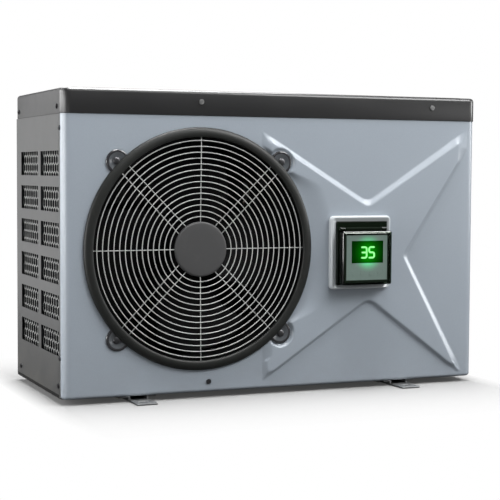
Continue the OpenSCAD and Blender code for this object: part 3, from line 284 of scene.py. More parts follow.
def painted_digit_glow(name, colour, rough, bright, faint, reach, gain, base=0.0, rim=False,
                  specular=0.12):
    """A surface with the digits' green light painted on as emission, which fades between the two
    radii in 'reach'.

    With 'rim', everything outside the label's lit field stays black.
    """
    mat = Shader(name)
    middle_x, _, middle_z = place(DIGITS_X, 0, DIGITS_Z)
    centred = mat.add("Mapping", {"Location": (-middle_x, 0.0, -middle_z), "Vector": mat.coords})
    oval = mat.add("Mapping", {"Vector": centred, "Scale": (0.88, 0.0, 0.84)})
    distance = mat.node("VectorMath", {0: oval}, operation="LENGTH").outputs["Value"]
    shadowed_near, far = reach
    glow = mat.math("POWER", mat.ramp(distance, over=(far, shadowed_near)), 2.0)
    tint = mat.vary(mat.noise(scale=40.0, detail=4, rough=0.6), colour, drift=0.06)
    if rim:
        def edge_gap(position, low, high):
            offset = mat.math("SUBTRACT", position, (low + high) / 2)
            return mat.math("SUBTRACT", (high - low) / 2, mat.math("ABSOLUTE", offset))

        x, _, z = mat.split()
        low_x, _, low_z = place(LABEL_X[0], 0, LABEL_Z[0])
        high_x, _, high_z = place(LABEL_X[1], 0, LABEL_Z[1])
        gap = mat.math("MINIMUM", edge_gap(x, low_x, high_x), edge_gap(z, low_z, high_z))
        inside = mat.ramp(gap, over=(0.0, 0.0004))
        # the black outside the lit field has a green tint: painted green light from the digits
        tint = mat.mix(inside, (0.003, 0.007, 0.003), tint)
        glow = mat.math("MULTIPLY", glow, inside)
    emission = mat.mix(glow, faint, bright)
    strength = mat.math("ADD", mat.math("MULTIPLY", glow, gain), base)
    gloss = mat.raised(rough, mat.noise(scale=120.0, rough=0.6), gain=0.06)
    normal = mat.bump(mat.noise(scale=900.0, detail=2), distance=0.00001)
    mat.bsdf(Base_Color=tint, Roughness=gloss, Normal=normal, Specular_IOR_Level=specular,
             Emission_Color=emission, Emission_Strength=strength)


def lit_segments_material():
    mat = Shader("led_green")
    glow = mat.mix(mat.noise(scale=300.0, detail=2), (0.26, 1.0, 0.27), (0.34, 1.0, 0.34))
    mat.bsdf(Base_Color=(0.1, 0.4, 0.1, 1.0), Roughness=0.4, Emission_Color=glow,
             Emission_Strength=1.05)


def clear_cover_material():
    """Clear moulded cover: see-through face, dark thick edges, hard reflections, painted
    highlights on rounded edges facing up and left.
    """
    mat = Shader("smoked_clear")
    tint = mat.mix(mat.noise(scale=30.0), (0.93, 0.95, 0.93), (0.96, 0.98, 0.96))
    normal = mat.add("VectorTransform", {0: mat.node("NewGeometry").outputs["Normal"]},
                     vector_type="NORMAL", convert_from="WORLD", convert_to="OBJECT")
    normal_x, normal_y, normal_z = mat.split(normal)
    face = mat.ramp(mat.math("ABSOLUTE", normal_y), over=(0.93, 0.985))
    edge = mat.mix(face, (0.10, 0.14, 0.10), tint)
    # painted highlight: extra reflection on rounded edges that face up and left, stronger higher
    # up
    up_left = mat.ramp(mat.math("SUBTRACT", normal_z, normal_x), over=(0.15, 0.45))
    rounding = mat.math("MULTIPLY", mat.ramp(mat.math("ABSOLUTE", normal_y), over=(0.22, 0.50)),
                        mat.math("SUBTRACT", 1.0, face))
    painted_shine_z = (place(0, 0, 184)[2], place(0, 0, 214)[2])
    upper = mat.ramp(mat.split()[2], over=painted_shine_z, to=(0.05, 0.15))
    painted_shine = mat.math("MULTIPLY", mat.math("MULTIPLY", up_left, rounding), upper)
    clear = mat.add("BsdfTransparent", {"Color": edge})
    gloss = mat.add("BsdfGlossy", {
        "Color": WHITE,
        "Roughness": mat.raised(0.03, mat.noise(scale=90.0, detail=5, rough=0.7), gain=0.04),
        "Normal": mat.bump(mat.noise(scale=25.0, detail=2), distance=0.00005)})
    fresnel = mat.add("Fresnel", {"IOR": 1.46})
    # reflections fall from 0.35 of Fresnel at the edges to 0.05 on the flat face
    share = mat.math("ADD", mat.math("MULTIPLY", face, -0.30), 0.35)
    reflect = mat.math("ADD", mat.math("MULTIPLY", fresnel, share), painted_shine)
    mat.surface(mat.mix_shaders(reflect, clear, gloss))


# ------------------------------------------------------------------ materials
painted("front_paint", (0.296, 0.334, 0.378), rough=0.36, drift=0.03, peel=0.00002, coat=0.35,
        wear=0.10, flake=0.05, dirt=0.04)
painted("side_paint", (0.057, 0.058, 0.058), rough=0.38, drift=0.06, coat=0.25, wear=0.0)
painted("lid_paint", (0.0195, 0.0195, 0.020), rough=0.34, drift=0.12, coat=0.35, wear=0.0,
        dirt=0.0)
metal("galvanised", (0.26, 0.265, 0.27), rough=0.45, spangle=0.3, tarnish=(0.33, 0.33, 0.32))
metal("zinc", (0.62, 0.62, 0.58), rough=0.30)
metal("steel", (0.50, 0.50, 0.50), rough=0.25, grain=(1, 30, 1))
metal("copper", (0.72, 0.36, 0.20), rough=0.28, tarnish=(0.30, 0.16, 0.09))
metal("brass", (0.66, 0.46, 0.20), rough=0.30, tarnish=(0.36, 0.26, 0.13))
metal("titanium", (0.42, 0.40, 0.38), rough=0.36)
metal("winding", (0.48, 0.20, 0.08), rough=0.4)
plastic("black_plastic", (0.012, 0.012, 0.013), rough=0.55, dust=0.05)
# black plastic darkened far below real plastic with little shine: painted shade for the fan deep
# inside the casing
plastic("fan_black_and_painted_shade", (0.0026, 0.0026, 0.0028), rough=0.6, dust=0.004, specular=0.08)
# painted shade: the copper tubes darkened nearly to black for the dark inside of the casing
metal("tube_painted_shade", (0.045, 0.030, 0.022), rough=0.5, tarnish=(0.02, 0.015, 0.012))
# painted shade: inner parts near-black to stand for the dark inside of the casing
painted("painted_shade_inside", (0.008, 0.008, 0.0085), rough=0.6, wear=0.0, specular=0.15, dirt=0.02)
plastic("grille_plastic", (0.23, 0.235, 0.23), dust=0.05)
plastic("guard_black", (0.010, 0.011, 0.010), rough=0.46, coat=0.03, dust=0.015,
        grain_scale=500, specular=0.4)
plastic("lug_black", (0.028, 0.028, 0.031), rough=0.14, coat=1.0, dust=0.02, grain=0.00001)
plastic("lug_dish", (0.085, 0.092, 0.10), rough=0.14, coat=1.0, dust=0.01, grain=0.00002)
metal("dark_screw", (0.10, 0.10, 0.105), rough=0.34)
plastic("wire_grey", (0.43, 0.44, 0.43), rough=0.38, coat=0.1, dust=0.03, drift=0.05)
plastic("cap_grey", (0.052, 0.052, 0.053), rough=0.52, dust=0.03, grain=0.00002)
metal("lid_screw", (0.34, 0.34, 0.34), rough=0.36)
plastic("silver_plastic", (0.50, 0.53, 0.55), rough=0.34, coat=0.4, dust=0.02, scratch=0.03,
        drift=0.03)
# gloss_black and hinge_black are tinted green: painted green light from the digits on the black
# housing and hinge
plastic("gloss_black", (0.004, 0.008, 0.004), rough=0.10, coat=0.12, dust=0.0, grain=0.000004,
        specular=0.3)
plastic("hinge_black", (0.002, 0.005, 0.002), rough=0.6, dust=0.0, specular=0.05)
plastic("board", (0.02, 0.13, 0.05), rough=0.3, coat=0.3)
plastic("rubber", (0.015, 0.015, 0.015), rough=0.75)
painted("motor_paint", (0.02, 0.02, 0.022), rough=0.5, wear=0.0)
painted("black_paint", (0.018, 0.018, 0.02), rough=0.36, wear=0.0)
plastic("black_pvc", (0.02, 0.02, 0.021), rough=0.34, coat=0.2, scratch=0.04)
plastic("white_pvc", (0.72, 0.72, 0.69), rough=0.32, coat=0.2, scratch=0.05, drift=0.03)
plastic("white_plastic", (0.66, 0.66, 0.63), rough=0.45, drift=0.03)
# painted shade: near-black fins stand for the dark inside of the casing
metal("coated_fin", (0.020, 0.022, 0.026), rough=0.55, grain=(1, 1, 0.2))
# painted light: the label and the LED window carry the digits' green glow as emission
painted_digit_glow("label_grey", (0.205, 0.252, 0.246), rough=0.5, bright=(0.0, 0.60, 0.15),
              faint=(0.0, 0.50, 0.15), reach=(0.011, 0.0285), gain=1.7, rim=True)
painted_digit_glow("led_dark", (0.0015, 0.006, 0.0015), rough=0.45, bright=(0.0, 0.32, 0.0),
              faint=(0.0, 0.16, 0.0), reach=(0.006, 0.030), gain=0.85, base=0.12, specular=0.0)
lit_segments_material()
clear_cover_material()


# ------------------------------------------------------------------ mesh tools
def build(name, verts, faces, material, slot=None, body="casing", replaces=None, sharp=32.0,
          smooth=True):
    """Make an object and register it; the slot argument is not used."""
    mesh = bpy.data.meshes.new(name)
    mesh.from_pydata([tuple(v) for v in verts], [], [tuple(int(i) for i in f) for f in faces])
    mesh.validate(clean_customdata=False)
    mesh.update()
    if smooth:
        mesh.shade_smooth()
        mesh.set_sharp_from_angle(angle=math.radians(sharp))
    obj = bpy.data.objects.new(name, mesh)
    bpy.context.scene.collection.objects.link(obj)
    mesh.materials.append(materials[material])
    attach(obj, body)
    if replaces:
        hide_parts(replaces)
    return obj


def repaint(obj, material, chosen):
    """Add a second material on the faces whose centre (x, y, z) is chosen."""
    obj.data.materials.append(materials[material])
    for face in obj.data.polygons:
        x, y, z = face.center
        if chosen(x * 1000 + ORIGIN_X, y * 1000 + ORIGIN_Y, z * 1000 - LIFT):
            face.material_index = 1


class Bag:
    """Collects the vertices and faces of several closed shapes."""

    def __init__(self):
        self.verts, self.faces = [], []

    def add(self, verts, faces):
        base = len(self.verts)
        self.verts.extend(verts)
        self.faces.extend([tuple(i + base for i in face) for face in faces])

    def loft(self, rings, closed=False):
        """Skin over rings of placed points; an open loft gets end caps."""
        size, count = len(rings[0]), len(rings)
        faces = []
        for k in range(count if closed else count - 1):
            here, there = k * size, ((k + 1) % count) * size
            for i in range(size):
                j = (i + 1) % size
                faces.append((here + i, here + j, there + j, there + i))
        if not closed:
            faces.append(tuple(reversed(range(size))))
            faces.append(tuple((count - 1) * size + i for i in range(size)))
        self.add([point for ring in rings for point in ring], faces)

    def box(self, low, high):
        corners = [place(x, y, z) for x in (low[0], high[0]) for y in (low[1], high[1])
                   for z in (low[2], high[2])]
        self.add(corners, [(0, 1, 3, 2), (4, 6, 7, 5), (0, 4, 5, 1), (2, 3, 7, 6), (0, 2, 6, 4),
                           (1, 5, 7, 3)])

    def hoop(self, profile, steps):
        """Ring about the fan axis; the profile is a closed loop of (radius, y)."""
        rings = []
        for i in range(steps):
            angle = 2 * math.pi * i / steps
            points = [(around_fan(radius, angle), y) for radius, y in profile]
            rings.append([place(x, y, z) for (x, z), y in points])
        self.loft(rings, closed=True)

    def turn(self, profile, steps, centre=(FAN_X, FAN_Z), warp=None):
        """Solid about a y axis; the (radius, y) profile starts and ends on the axis."""
        centre_x, centre_z = centre
        skin = profile[1:-1]
        size = len(skin)
        verts = [place(centre_x, profile[0][1], centre_z)]
        for i in range(steps):
            angle = 2 * math.pi * i / steps
            for radius, y in skin:
                x, z = centre_x + radius * math.cos(angle), centre_z + radius * math.sin(angle)
                if warp:
                    x, z = warp(x, z)
                verts.append(place(x, y, z))
        verts.append(place(centre_x, profile[-1][1], centre_z))
        last = len(verts) - 1
        faces = []
        for i in range(steps):
            here, there = 1 + i * size, 1 + (i + 1) % steps * size
            faces.append((0, there, here))
            for k in range(size - 1):
                faces.append((here + k, there + k, there + k + 1, here + k + 1))
            faces.append((here + size - 1, there + size - 1, last))
        self.add(verts, faces)

    def rod(self, start, end, radius, sides=12, dome=0.35):
        """Round bar with slightly domed ends; dome is their length over the radius."""
        start, end = Vector(start), Vector(end)
        along = (end - start).normalized()
        across = along.orthogonal().normalized()
        other = along.cross(across)
        tip = radius * dome
        angles = [2 * math.pi * j / sides for j in range(sides)]
        rings = []
        for centre, scale in ((start, 0.55), (start + along * tip * 0.4, 0.88),
                              (start + along * tip, 1.0), (end - along * tip, 1.0),
                              (end - along * tip * 0.4, 0.88), (end, 0.55)):
            rings.append([place(*(centre + (across * math.cos(t) + other * math.sin(t))
                                  * radius * scale)) for t in angles])
        self.loft(rings)

    def build(self, name, material, **options):
        """Make the object and turn all its faces outwards."""
        obj = build(name, self.verts, self.faces, material, **options)
        mesh = bmesh.new()
        mesh.from_mesh(obj.data)
        bmesh.ops.recalc_face_normals(mesh, faces=mesh.faces)
        mesh.to_mesh(obj.data)
        mesh.free()
        obj.data.update()
        return obj


def rounded_rectangle(x0, z0, x1, z1, radius, steps):
    """Rounded rectangle as (x, z) points, counter-clockwise."""
    points = []
    for centre_x, centre_z, first in ((x1 - radius, z0 + radius, -90),
                                      (x1 - radius, z1 - radius, 0),
                                      (x0 + radius, z1 - radius, 90),
                                      (x0 + radius, z0 + radius, 180)):
        for i in range(steps + 1):
            angle = math.radians(first + 90.0 * i / steps)
            points.append((centre_x + radius * math.cos(angle),
                           centre_z + radius * math.sin(angle)))
    return points


# ------------------------------------------------------------------ CAD pieces
RECORD_SLOTS = {part["node"]: part["material_slot"] for part in frame["record"]["subparts"]}
# pieces whose look differs from their recorded slot
OWN_LOOKS = {
    "fan_shroud": "fan_black_and_painted_shade", "evaporator_tubes": "tube_painted_shade",
    "controller_body": "gloss_black", "guard_screws": "lug_black",
    # near-black inner parts: painted shade for the dark inside of the casing
    **dict.fromkeys(("partition_plate", "motor_bracket", "motor_front_shell",
                     "motor_rear_shell", "base_pan", "coil_end_plates"), "painted_shade_inside"),
}
BEVEL_WIDTHS = {
    "foot_rail_left": 0.8, "foot_rail_right": 0.8, "display_housing": 0.7,
    "controller_body": 0.7, "controller_face": 0.25, "base_pan": 0.25,
    "electrical_box": 0.4, "electrical_cover": 0.3, "motor_bracket": 0.3,
}
FLAT_SHADED = ("left_side_panel", "right_side_panel", "rear_panel", "base_pan",
               "foot_rail_left", "foot_rail_right", "display_housing")


def soften(obj, width):
    """Round off the edges of a CAD piece."""
    weld = obj.modifiers.new("weld", "WELD")
    weld.merge_threshold = 0.000002
    bevel = obj.modifiers.new("bevel", "BEVEL")
    bevel.width = width / 1000.0
    bevel.segments = 2
    bevel.limit_method = "ANGLE"
    bevel.angle_limit = math.radians(40.0)
    bevel.use_clamp_overlap = True
    bevel.harden_normals = False
    bevel.miter_outer = "MITER_ARC"


for name, obj in nodes.items():
    look = OWN_LOOKS.get(name, RECORD_SLOTS.get(name, "steel"))
    obj.data.materials.clear()
    obj.data.materials.append(materials.get(look, materials["steel"]))
    for face in obj.data.polygons:
        face.material_index = 0

# screws high on the front, in the lid's skirt
repaint(nodes["casing_screws"], "lid_screw", lambda x, y, z: z > 444 and y < 0.5)

for name, width in BEVEL_WIDTHS.items():
    if name in nodes:
        soften(nodes[name], width)
for name in FLAT_SHADED:
    for face in nodes[name].data.polygons:
        face.use_smooth = False


# ------------------------------------------------------------------ left side honeycomb
def honeycomb_block(y_start, top):
    """Four staggered rows of hexagonal cells; neighbouring cells share vertices."""
    pitch_y, pitch_z, x_outer, x_inner = 14.4, 13.0, 4.0, 4.7
    opening = 0.885    # cell opening as a fraction of the cell
    point = pitch_z * 2 / 3
    hexagon = [(0, point), (-pitch_y / 2, point / 2), (-pitch_y / 2, -point / 2),
               (0, -point), (pitch_y / 2, -point / 2), (pitch_y / 2, point / 2)]
    verts, index, faces, edges = [], {}, [], {}

    def vertex(y, z, x):
        key = (round(y, 2), round(z, 2), x)
        if key not in index:
            index[key] = len(verts)
            verts.append(place(x, y, z))
        return index[key]

    for row in range(4):
        odd = row % 2
        for column in range(7 if odd else 8):
            middle_y = y_start + (6.8 + odd * pitch_y / 2) + pitch_y * column
            middle_z = top - 0.8 - pitch_z * row
            front, back, hole_front, hole_back = (
                [vertex(middle_y + u * scale, middle_z + v * scale, x) for u, v in hexagon]
                for scale, x in ((1, x_outer), (1, x_inner),
                                 (opening, x_outer), (opening, x_inner)))
            for j in range(6):
                m = (j + 1) % 6
                faces.append((front[j], front[m], hole_front[m], hole_front[j]))
                faces.append((back[m], back[j], hole_back[j], hole_back[m]))
                faces.append((hole_front[j], hole_front[m], hole_back[m], hole_back[j]))
                edge = tuple(sorted((front[j], front[m])))
                edges.setdefault(edge, []).append((front[j], back[j], back[m], front[m]))
    # outer wall along the edges that only one cell has
    faces += [walls[0] for walls in edges.values() if len(walls) == 1]
    return verts, faces


def honeycomb():
    bag = Bag()
    for y_start in (20, 152):
        for top in (385, 328.8, 272.7, 216.5, 160.4, 104.3):
            bag.add(*honeycomb_block(y_start, top))
    # level bars between the blocks
    for z in (58.5, 389, 336.6, 280.5, 224.3, 168.2, 112.1):
        bag.box((1.05, 48, z - 1.0), (3.9, 250, z + 1.0))
    bag.build("side_honeycomb", "grille_plastic", replaces="side_grille", smooth=False)


honeycomb()

# ------------------------------------------------------------------ front sheet
# Outlines of the pressed area right of the fan: x, z, corner radius.
PRESS_FOOT = [    # where the slope starts
    (334, 11.5, 0), (331, 420.5, 0), (524, 304.5, 22), (718, 430, 0), (718, 394, 0),
    (599.6, 212, 15), (713.5, 8, 0), (702, 8.5, 0), (527, 139, 20)]
PRESS_TOP = [     # where it reaches full height
    (351.5, 36, 0), (350, 398.5, 0), (524, 294.4, 16), (696, 401, 0), (696.5, 373, 0),
    (589, 214, 10), (687.5, 31, 0), (684, 32.5, 0), (527, 149.3, 14)]
BOTTOM_ROLL = 5.0   # radius of the rolled lower edge
# Side flanges: y, share of the bottom roll
FLANGE = [(23, 0), (20, 0.45), (17, 0.8), (15, 0.95)]


def with_corners(outline, steps=14):
    """Replace the corners that have a radius by arcs."""
    points = []
    for i, (x, z, radius) in enumerate(outline):
        corner = Vector((x, z))
        if radius == 0:
            points.append(corner)
            continue
        before, after = outline[i - 1], outline[(i + 1) % len(outline)]
        u = (Vector(before[:2]) - corner).normalized()
        v = (Vector(after[:2]) - corner).normalized()
        half = math.acos(u.dot(v)) / 2
        centre = corner + (u + v).normalized() * (radius / math.sin(half))
        start = corner + u * (radius / math.tan(half)) - centre
        end = corner + v * (radius / math.tan(half)) - centre
        first = math.atan2(start.y, start.x)
        sweep = (math.atan2(end.y, end.x) - first + math.pi) % (2 * math.pi) - math.pi
        for k in range(steps + 1):
            angle = first + sweep * k / steps
            points.append(centre + Vector((math.cos(angle), math.sin(angle))) * radius)
    return np.array([(p.x, p.y) for p in points])


def segment_distance(points, start, end):
    start, end = np.array(start[:2], float), np.array(end[:2], float)
    along = end - start
    t = np.clip(((points - start) @ along) / (along @ along), 0, 1)
    return np.linalg.norm(points - (start + t[:, None] * along), axis=1)


def outline_distance(points, outline):
    """Signed distance to a closed outline, positive inside."""
    best = np.full(len(points), 1e9)
    inside = np.zeros(len(points), bool)
    for i, a in enumerate(outline):
        b = outline[(i + 1) % len(outline)]
        best = np.minimum(best, segment_distance(points, a, b))
        spans = (a[1] > points[:, 1]) != (b[1] > points[:, 1])
        with np.errstate(divide="ignore", invalid="ignore"):
            crossing = (b[0] - a[0]) * (points[:, 1] - a[1]) / (b[1] - a[1]) + a[0]
        inside ^= spans & (points[:, 0] < crossing)
    return np.where(inside, best, -best)


def smoothstep(t):
    return t * t * (3 - 2 * t)


def press_height(grid_x, grid_z):
    """How far the sheet stands out at each grid point."""
    points = np.stack([grid_x.ravel(), grid_z.ravel()], 1)
    x, z = points[:, 0], points[:, 1]
    foot = outline_distance(points, with_corners(PRESS_FOOT))
    top = outline_distance(points, with_corners(PRESS_TOP))
    t = np.where(top >= 0, 1.0, np.where(foot <= 0, 0.0, foot / np.maximum(foot - top, 1e-6)))
    # a steeper slope near the lower edge
    lower = np.minimum(segment_distance(points, PRESS_FOOT[0], PRESS_FOOT[8]),
                       segment_distance(points, PRESS_FOOT[8], PRESS_FOOT[7]))
    right = segment_distance(points, PRESS_FOOT[5], PRESS_FOOT[6])
    t = np.where((lower < 26) & (lower < right) & (z < 160), np.minimum(1.0, t * 2.1), t)
    # straight slope, eased over these shares of its foot and top
    ease_in, ease_out = 0.05, 0.16
    slope = 1 / (1 - ease_in / 2 - ease_out / 2)
    rise = np.where(t < ease_in, slope * t * t / (2 * ease_in),
                    np.where(t < 1 - ease_out, slope * (t - ease_in / 2),
                             1 - slope * (1 - t) ** 2 / (2 * ease_out)))
    # fade to flat at the fan guard, over a wider band straight to its right, and at its ears
    angle = np.abs(np.degrees(np.arctan2(z - FAN_Z, x - FAN_X)))
    beside = smoothstep(np.clip((41 - angle) / 18, 0, 1))
    keep = np.clip((np.hypot(x - FAN_X, z - FAN_Z) - 194.5) / (4.5 + 36 * beside), 0, 1)
    for ear_angle in EAR_ANGLES:
        ear_x, ear_z = around_fan(EAR_CIRCLE, ear_angle)
        keep = np.minimum(keep, np.clip((np.hypot(x - ear_x, z - ear_z) - 20.0) / 5.0, 0, 1))
    return (rise * smoothstep(keep) * PRESS).reshape(grid_x.shape)


def sheet_path():
    """Plan of the sheet, left to right: x, y, outward normal x and y, share of bottom roll.

    The share is exactly 1 only on the front face, the part that is pressed.
    """
    def corner(centre_x, first):
        angles = [math.radians(first + 90 * i / 10) for i in range(11)]
        return [(centre_x + CORNER * math.cos(a), CORNER + CORNER * math.sin(a),
                 math.cos(a), math.sin(a), 0.999) for a in angles]

    columns = [*np.arange(17, 322, 4.0), *np.arange(323, 463, 1.6), WINDOW_X[0],
               *np.arange(468.5, 548, 2.65), WINDOW_X[1], *np.arange(551.6, 717.6, 1.6)]
    return ([(0.0, y, -1.0, 0.0, share) for y, share in FLANGE]
            + corner(CORNER, 180)
            + [(x, 0.0, 0.0, -1.0, 1) for x in columns]
            + corner(WIDTH - CORNER, 270)
            + [(WIDTH, y, 1.0, 0.0, share) for y, share in reversed(FLANGE)])


def front_sheet():
    hole_radius, front_limit = 186.0, 3    # points with y below the limit are on the front
    path = sheet_path()
    levels = [472.0, 466.0, 458.0, 450.0, 444.0, *np.arange(440.0, 268.5, -1.6), WINDOW_Z[1],
              *np.arange(264.8, 173.5, -1.9), WINDOW_Z[0], *np.arange(170.4, 5.2, -1.6),
              BOTTOM_ROLL]
    height = press_height(np.array([[p[0] for p in path]] * len(levels)),
                          np.array([[z] * len(path) for z in levels]))
    height = height * np.array([p[4] >= 1 for p in path])[None, :]
    rows = [[(x + nx * out, y + ny * out, z) for (x, y, nx, ny, _), out in zip(path, line)]
            for z, line in zip(levels, height)]
    # rolled lower edge, fading out round the corners
    for degrees in (18, 36, 54, 72, 90):
        angle = math.radians(degrees)
        sink = 1 - math.cos(angle)
        rows.append([(x - nx * BOTTOM_ROLL * share * sink, y - ny * BOTTOM_ROLL * share * sink,
                      BOTTOM_ROLL - BOTTOM_ROLL * math.sin(angle))
                     for x, y, nx, ny, share in path])

    grid = np.array(rows)
    size = len(path)
    faces = []
    for k in range(len(rows) - 1):
        for i in range(size - 1):
            x, y, z = (grid[k, i] + grid[k + 1, i + 1]) / 2
            in_fan = math.hypot(x - FAN_X, z - FAN_Z) < hole_radius - 0.5
            in_window = WINDOW_X[0] < x < WINDOW_X[1] and WINDOW_Z[0] < z < WINDOW_Z[1]
            if y < front_limit and (in_fan or in_window):
                continue
            here, below = k * size + i, (k + 1) * size + i
            faces.append((here, below, below + 1, here + 1))

    # pull the fan hole's rim onto a true circle
    points = grid.reshape(-1, 3)
    edge_uses = Counter((min(a, b), max(a, b)) for f in faces for a, b in zip(f, f[1:] + f[:1]))
    for edge, uses in edge_uses.items():
        if uses > 1:
            continue
        for v in edge:
            x, y, z = points[v]
            if math.hypot(x - FAN_X, z - FAN_Z) < 192 and y < front_limit:
                points[v, 0], points[v, 2] = at_fan_radius(x, z, hole_radius)

    used = sorted({v for face in faces for v in face})
    renumber = {v: i for i, v in enumerate(used)}
    obj = build("front_sheet", [place(*points[v]) for v in used],
                [tuple(renumber[v] for v in face) for face in faces], "front_paint",
                replaces="front_panel", sharp=60)
    repaint(obj, "side_paint", lambda x, y, z: y > CORNER + 0.05)
    sheet = obj.modifiers.new("sheet", "SOLIDIFY")
    sheet.thickness = 0.001
    sheet.offset = -1.0


front_sheet()


# ------------------------------------------------------------------ lid
def lid():
    skirt, edge_z, edge_radius = 1.35, 475.6, 6
    # rings from the inside out and over the top: overhang beyond the casing, z
    stations = [(-20, 480.6), (-5, 480.6), (-1.5, 479.6), (0.1, 476), (0.15, 443.2),
                (0.35, 442.3), (0.75, 442.0), (1.15, 442.3), (skirt, 443.0), (skirt, edge_z)]
    for degrees in (15, 30, 45, 60, 75, 90):
        angle = math.radians(degrees)
        stations.append((skirt - edge_radius * (1 - math.cos(angle)),
                         edge_z + edge_radius * math.sin(angle)))
    stations += [(-12, 481.7), (-16, 481.9), (-19, 482.6), (-22, 483.0), (-60, 483.2)]
    bag = Bag()
    bag.loft([[place(x, y, z) for x, y in
               rounded_rectangle(-over, -over, WIDTH + over, DEPTH + over,
                                 radius=max(0.6, CORNER + over), steps=8)]
              for over, z in stations])
    bag.build("lid_shell", "lid_paint", replaces="top_cover", sharp=40)


lid()

# ------------------------------------------------------------------ fan guard
# Profiles about a y axis: radius, y.
RIM_PROFILE = [
    (179.0, 0.0), (GUARD_INNER, -0.6), (GUARD_INNER, -4.4), (178.8, -5.4), (179.8, -6.1),
    (181.4, -6.55), (183.6, -6.8), (186.0, -6.75), (188.4, -6.35), (190.6, -5.6), (192.3, -4.6),
    (193.4, -3.4), (193.9, -2.2), (194.0, -0.4), (193.7, 0.0)]
EAR_PROFILE = [
    (0, -0.7), (8.2, -0.7), (9.4, -0.9), (12.0, -1.7), (14.6, -2.4), (16.2, -2.6), (17.6, -2.4),
    (18.6, -1.8), (19.0, -0.9), (18.9, 0.0), (0, 0.0)]
SCREW_CAP_PROFILE = [
    (0, -3.0), (2.2, -2.95), (4.0, -2.6), (5.4, -1.9), (5.8, -1.2), (5.8, -0.72), (0, -0.72)]
HUB_CAP_PROFILE = [
    (0, -2.1), (30, -2.12), (40.5, -2.2), (42.3, -2.0), (43.4, -1.3), (HUB_RADIUS, -0.2),
    (HUB_RADIUS, 2.6), (43.4, 3.0), (0, 3.0)]


def guard_rim():
    bag = Bag()
    bag.hoop(RIM_PROFILE, steps=200)
    bag.build("guard_rim", "guard_black", slot="gloss_black", replaces="guard_ring", sharp=50)


def guard_ears():
    def clear_of_basket(x, z):
        if math.hypot(x - FAN_X, z - FAN_Z) < 188:
            return at_fan_radius(x, z, 188)
        return x, z

    centres = [around_fan(EAR_CIRCLE, angle) for angle in EAR_ANGLES]
    bag = Bag()
    for centre in centres:
        bag.turn(EAR_PROFILE, 48, centre, clear_of_basket)
    obj = bag.build("guard_ears", "lug_black", slot="gloss_black", sharp=50)
    repaint(obj, "lug_dish", lambda x, y, z: min(
        math.hypot(x - ear_x, z - ear_z) for ear_x, ear_z in centres) < 14.0)


def guard_screw_caps():
    bag = Bag()
    for angle in EAR_ANGLES:
        bag.turn(SCREW_CAP_PROFILE, 24, around_fan(198, angle))
    bag.build("guard_screw_caps", "dark_screw", replaces="guard_screws", sharp=50)


def guard_wires():
    """Shallow dish of ring wires on spokes; the diagonal spokes are pairs."""
    ring_wire, spoke_wire, pair_offset = 0.80, 0.74, 8.15

    def dish(radius):
        return -3.4 + 3.2 * (GUARD_INNER - radius) / (GUARD_INNER - HUB_RADIUS)

    bag = Bag()
    section = [2 * math.pi * j / 10 for j in range(10)]
    for k in range(14):
        radius = 52 + 9.3 * k
        bag.hoop([(radius + ring_wire * math.cos(t), dish(radius) + ring_wire * math.sin(t))
                  for t in section], steps=144)
    for degrees in range(0, 360, 45):
        angle = math.radians(degrees)
        for offset in ((0,) if degrees % 90 == 0 else (pair_offset, -pair_offset)):
            ends = []
            for reach in (43.6, 178.9):
                along = math.sqrt(reach ** 2 - offset ** 2)
                x, z = around_fan(along, angle)
                ends.append((x - offset * math.sin(angle), dish(math.hypot(along, offset)) + 1.5,
                             z + offset * math.cos(angle)))
            bag.rod(*ends, radius=spoke_wire)
    bag.build("guard_wire_basket", "wire_grey", replaces="guard_wires", sharp=60)


def guard_hub_cap():
    bag = Bag()
    bag.turn(HUB_CAP_PROFILE, 128)
    bag.build("guard_hub_cap", "cap_grey", replaces="guard_cap", sharp=50)


guard_rim()
guard_ears()
guard_screw_caps()
guard_wires()
guard_hub_cap()

# ------------------------------------------------------------------ fan
FAN_HUB_PROFILE = [
    (0, 26), (12, 26), (13, 27), (13, 29.6), (37, 30.2), (40.2, 31.0), (41.6, 32.6), (42, 35),
    (42, 71), (41.4, 72), (38.4, 72), (37.8, 71), (37.6, 35), (36.5, 34), (14, 34), (13, 35),
    (13, 63.5), (12.5, 64), (0, 64)]


def blade_point(s, u, side, turn):
    """Point on a blade: s from root to tip, u across the chord, side -1 front or 1 back."""
    root_radius, tip_radius, middle_y = 40, 168.0, 50
    chord = 78 - 14 * s                        # degrees
    trim = 1.0 if s < 0.9 else 1.0 - 0.22 * ((s - 0.9) / 0.1) ** 2
    sweep = 22 * s * s - 8
    skew = (1 if u < 0.5 else 0.4) * 10 * s * (0.5 - u)
    angle = math.radians(sweep + (u - 0.5) * chord * trim + skew) + turn
    half_thickness = (1.2 * (1 - 0.5 * s)) * math.sqrt(max(0.06, 1 - (2 * u - 1) ** 4))
    pitch = (u - 0.5) * (34 - 9 * s)
    camber = 20 * (u - 0.5) ** 2 * s
    x, z = around_fan(root_radius + (tip_radius - root_radius) * s, angle)
    return place(x, middle_y + pitch + camber + side * half_thickness, z)


def fan():
    span_steps, chord_steps = 22, 14
    bag = Bag()
    for blade in range(4):
        turn = math.radians(90 * blade)
        bag.loft([[blade_point(i / span_steps, j / chord_steps, side, turn)
                   for side, order in ((-1, range(chord_steps + 1)),
                                       (1, range(chord_steps, -1, -1))) for j in order]
                  for i in range(span_steps + 1)])
    bag.turn(FAN_HUB_PROFILE, 96)
    bag.build("fan_wheel", "fan_black_and_painted_shade", slot="black_plastic", body="fan",
              replaces="fan_blade", sharp=45)


fan()


